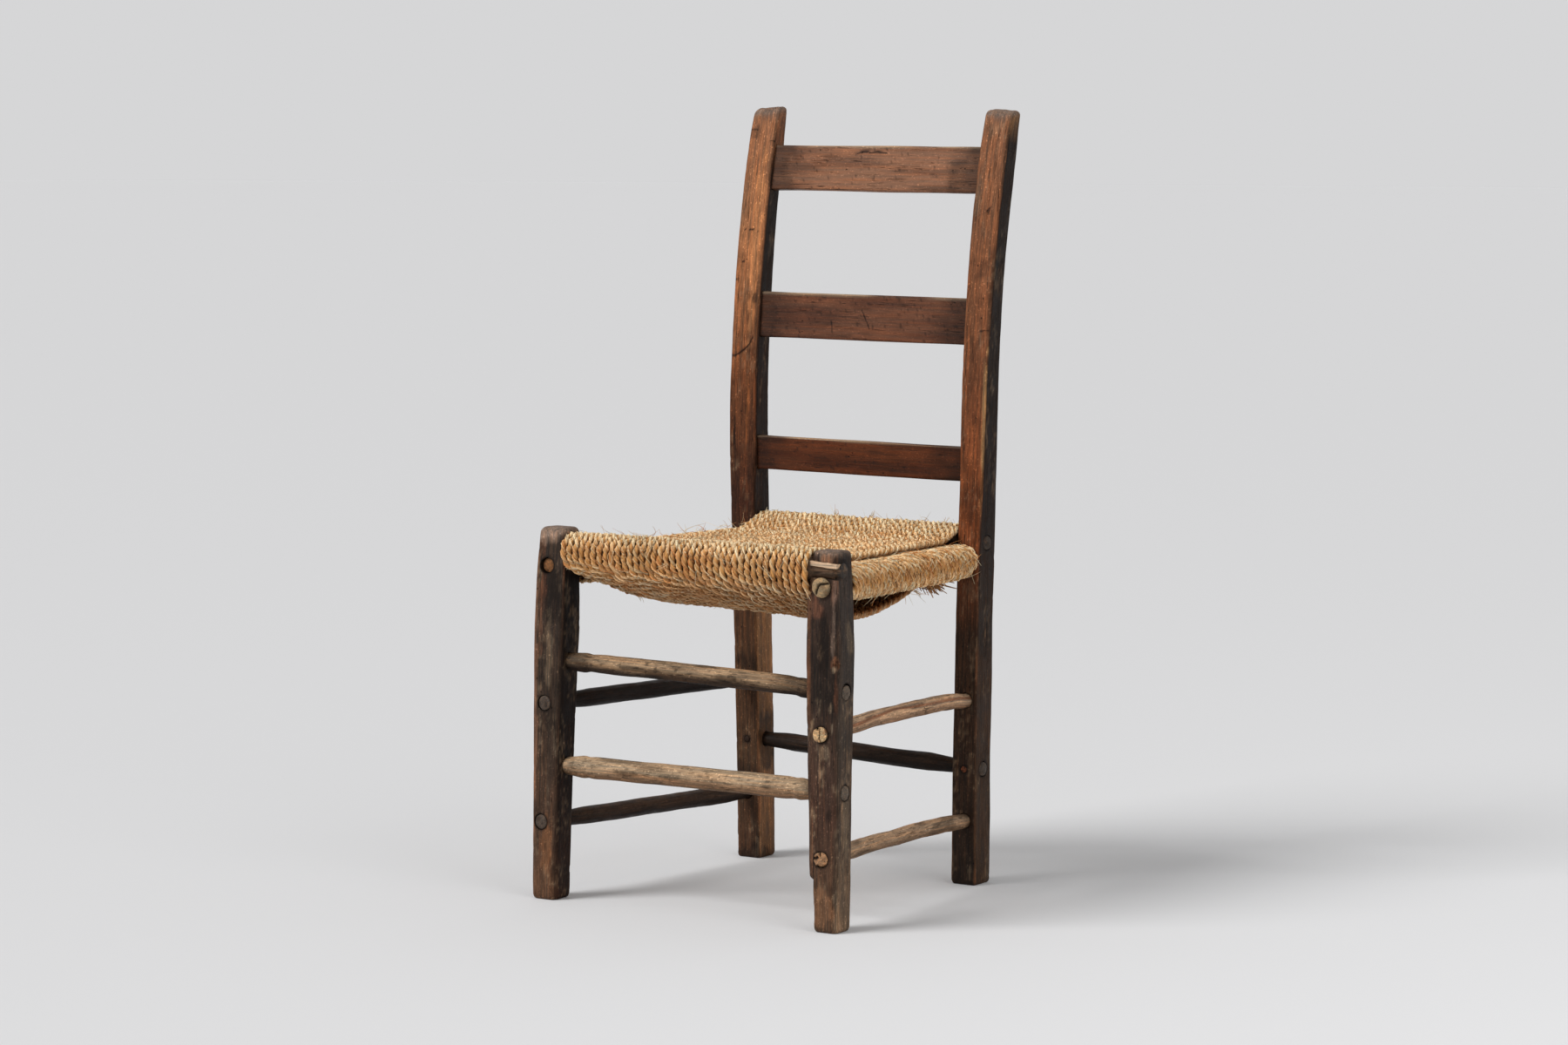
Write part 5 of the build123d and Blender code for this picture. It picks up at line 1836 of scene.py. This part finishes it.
class CHAIR_OT_stage(bpy.types.Operator):
    """Set up the camera, the floor and the light"""

    bl_idname = "chair.stage"
    bl_label = "Stage"

    def execute(self, context):
        stage = context.scene.chair_stage
        self.place_camera(context, stage)
        self.lay_floor(stage)
        self.hang_lights(stage)
        self.light_all_round(context, stage)
        context.scene.view_settings.view_transform = "Standard"
        return {"FINISHED"}

    def place_camera(self, context, stage):
        """A camera at the height, turn and tilt of the settings."""
        turn, pitch, roll = stage.azimuth, stage.pitch, stage.roll
        back = np.array([math.sin(turn) * math.cos(pitch), -math.cos(turn) * math.cos(pitch), math.sin(pitch)])
        right = unit(np.cross(-back, UP))
        rise = np.cross(right, -back)
        across = right * math.cos(roll) + rise * math.sin(roll)
        above = rise * math.cos(roll) - right * math.sin(roll)
        lens = bpy.data.cameras.new("camera")
        lens.lens = stage.lens
        lens.sensor_width = 36
        lens.sensor_fit = "HORIZONTAL"
        place = np.array(stage.target) + back * stage.distance
        context.scene.camera = stand("camera", lens, across, above, back, place)

    def lay_floor(self, stage):
        """A wide round floor in a plain pale finish."""
        radius = np.array([0.02, 1, 3, 8, 20, 60])[:, None, None]
        points, quads, caps = sleeve(radius * spokes(96, np.array([1.0, 0, 0]), np.array([0, 1.0, 0])))
        floor = add_object("floor", points, quads[:, ::-1], [caps[0][::-1]])
        material = bpy.data.materials.new("pale_floor")
        material.use_nodes = True
        shader = material.node_tree.nodes["Principled BSDF"]
        shader.inputs["Base Color"].default_value = (*stage.floor, 1)
        shader.inputs["Roughness"].default_value = 0.9
        shader.inputs["Specular IOR Level"].default_value = 0.1
        floor.data.materials.append(material)

    def hang_lights(self, stage):
        """A soft sun at the left front and a large lamp at the right."""
        sun = bpy.data.lights.new("key_light", "SUN")
        sun.energy = stage.key
        sun.angle = math.radians(28)
        lamp = bpy.data.lights.new("fill_lamp", "AREA")
        lamp.size = 2.2
        lamp.energy = stage.fill
        for light, place in ((sun, SUN_PLACE), (lamp, LAMP_PLACE)):
            away = unit(np.array(place) - LIT_PLACE)
            side = unit(np.cross(UP, away))
            stand(light.name, light, side, np.cross(away, side), away, place)

    def light_all_round(self, context, stage):
        """Soft light from all sides, which the camera sees as a plain pale backdrop."""
        world = bpy.data.worlds.new("studio")
        context.scene.world = world
        world.use_nodes = True
        tree = world.node_tree
        tree.nodes.clear()
        path = tree.nodes.new("ShaderNodeLightPath").outputs
        seen = combine(tree, "MAXIMUM", path["Is Camera Ray"], path["Is Glossy Ray"])
        seen = combine(tree, "MAXIMUM", seen, path["Is Transmission Ray"])
        soft = new_node(tree, "Background", {"Color": (1, 1, 1, 1), "Strength": stage.sky})
        pale = new_node(tree, "Background", {"Color": (*stage.floor, 1), "Strength": BACKDROP_STRENGTH})
        mix = new_node(tree, "MixShader", {0: seen, 1: soft.outputs[0], 2: pale.outputs[0]})
        new_node(tree, "OutputWorld", {"Surface": mix.outputs[0]})


OPERATORS = (
    CHAIR_OT_stage,
    CHAIR_OT_front_legs,
    CHAIR_OT_rear_posts,
    CHAIR_OT_back_slats,
    CHAIR_OT_seat_rails,
    CHAIR_OT_stretchers,
    CHAIR_OT_pegs,
    CHAIR_OT_front_winding,
    CHAIR_OT_side_winding,
    CHAIR_OT_loose_straw,
)
GROUPS = {"chair_timber": CHAIR_PG_timber, "chair_straw": CHAIR_PG_straw, "chair_stage": CHAIR_PG_stage}


class CHAIR_PT_parts(bpy.types.Panel):
    """Sizes, colours and pieces of the chair"""

    bl_idname = "CHAIR_PT_parts"
    bl_label = "Ladder-back chair"
    bl_space_type = "VIEW_3D"
    bl_region_type = "UI"
    bl_category = "Chair"

    def draw(self, context):
        for name, group in GROUPS.items():
            box = self.layout.box()
            for setting in group.__annotations__:
                box.prop(getattr(context.scene, name), setting)
        for operator in OPERATORS:
            self.layout.operator(operator.bl_idname)


def register():
    for kind in (*GROUPS.values(), *OPERATORS, CHAIR_PT_parts):
        bpy.utils.register_class(kind)
    for name, group in GROUPS.items():
        setattr(bpy.types.Scene, name, PointerProperty(type=group))


def unregister():
    for name in GROUPS:
        delattr(bpy.types.Scene, name)
    for kind in reversed((*GROUPS.values(), *OPERATORS, CHAIR_PT_parts)):
        bpy.utils.unregister_class(kind)


def main():
    register()
    bpy.ops.chair.stage()
    bpy.ops.chair.front_legs()
    bpy.ops.chair.rear_posts()
    bpy.ops.chair.back_slats()
    bpy.ops.chair.seat_rails()
    bpy.ops.chair.stretchers()
    bpy.ops.chair.pegs()
    bpy.ops.chair.front_winding()
    bpy.ops.chair.side_winding()
    bpy.ops.chair.loose_straw()


if __name__ == "__main__":
    main()
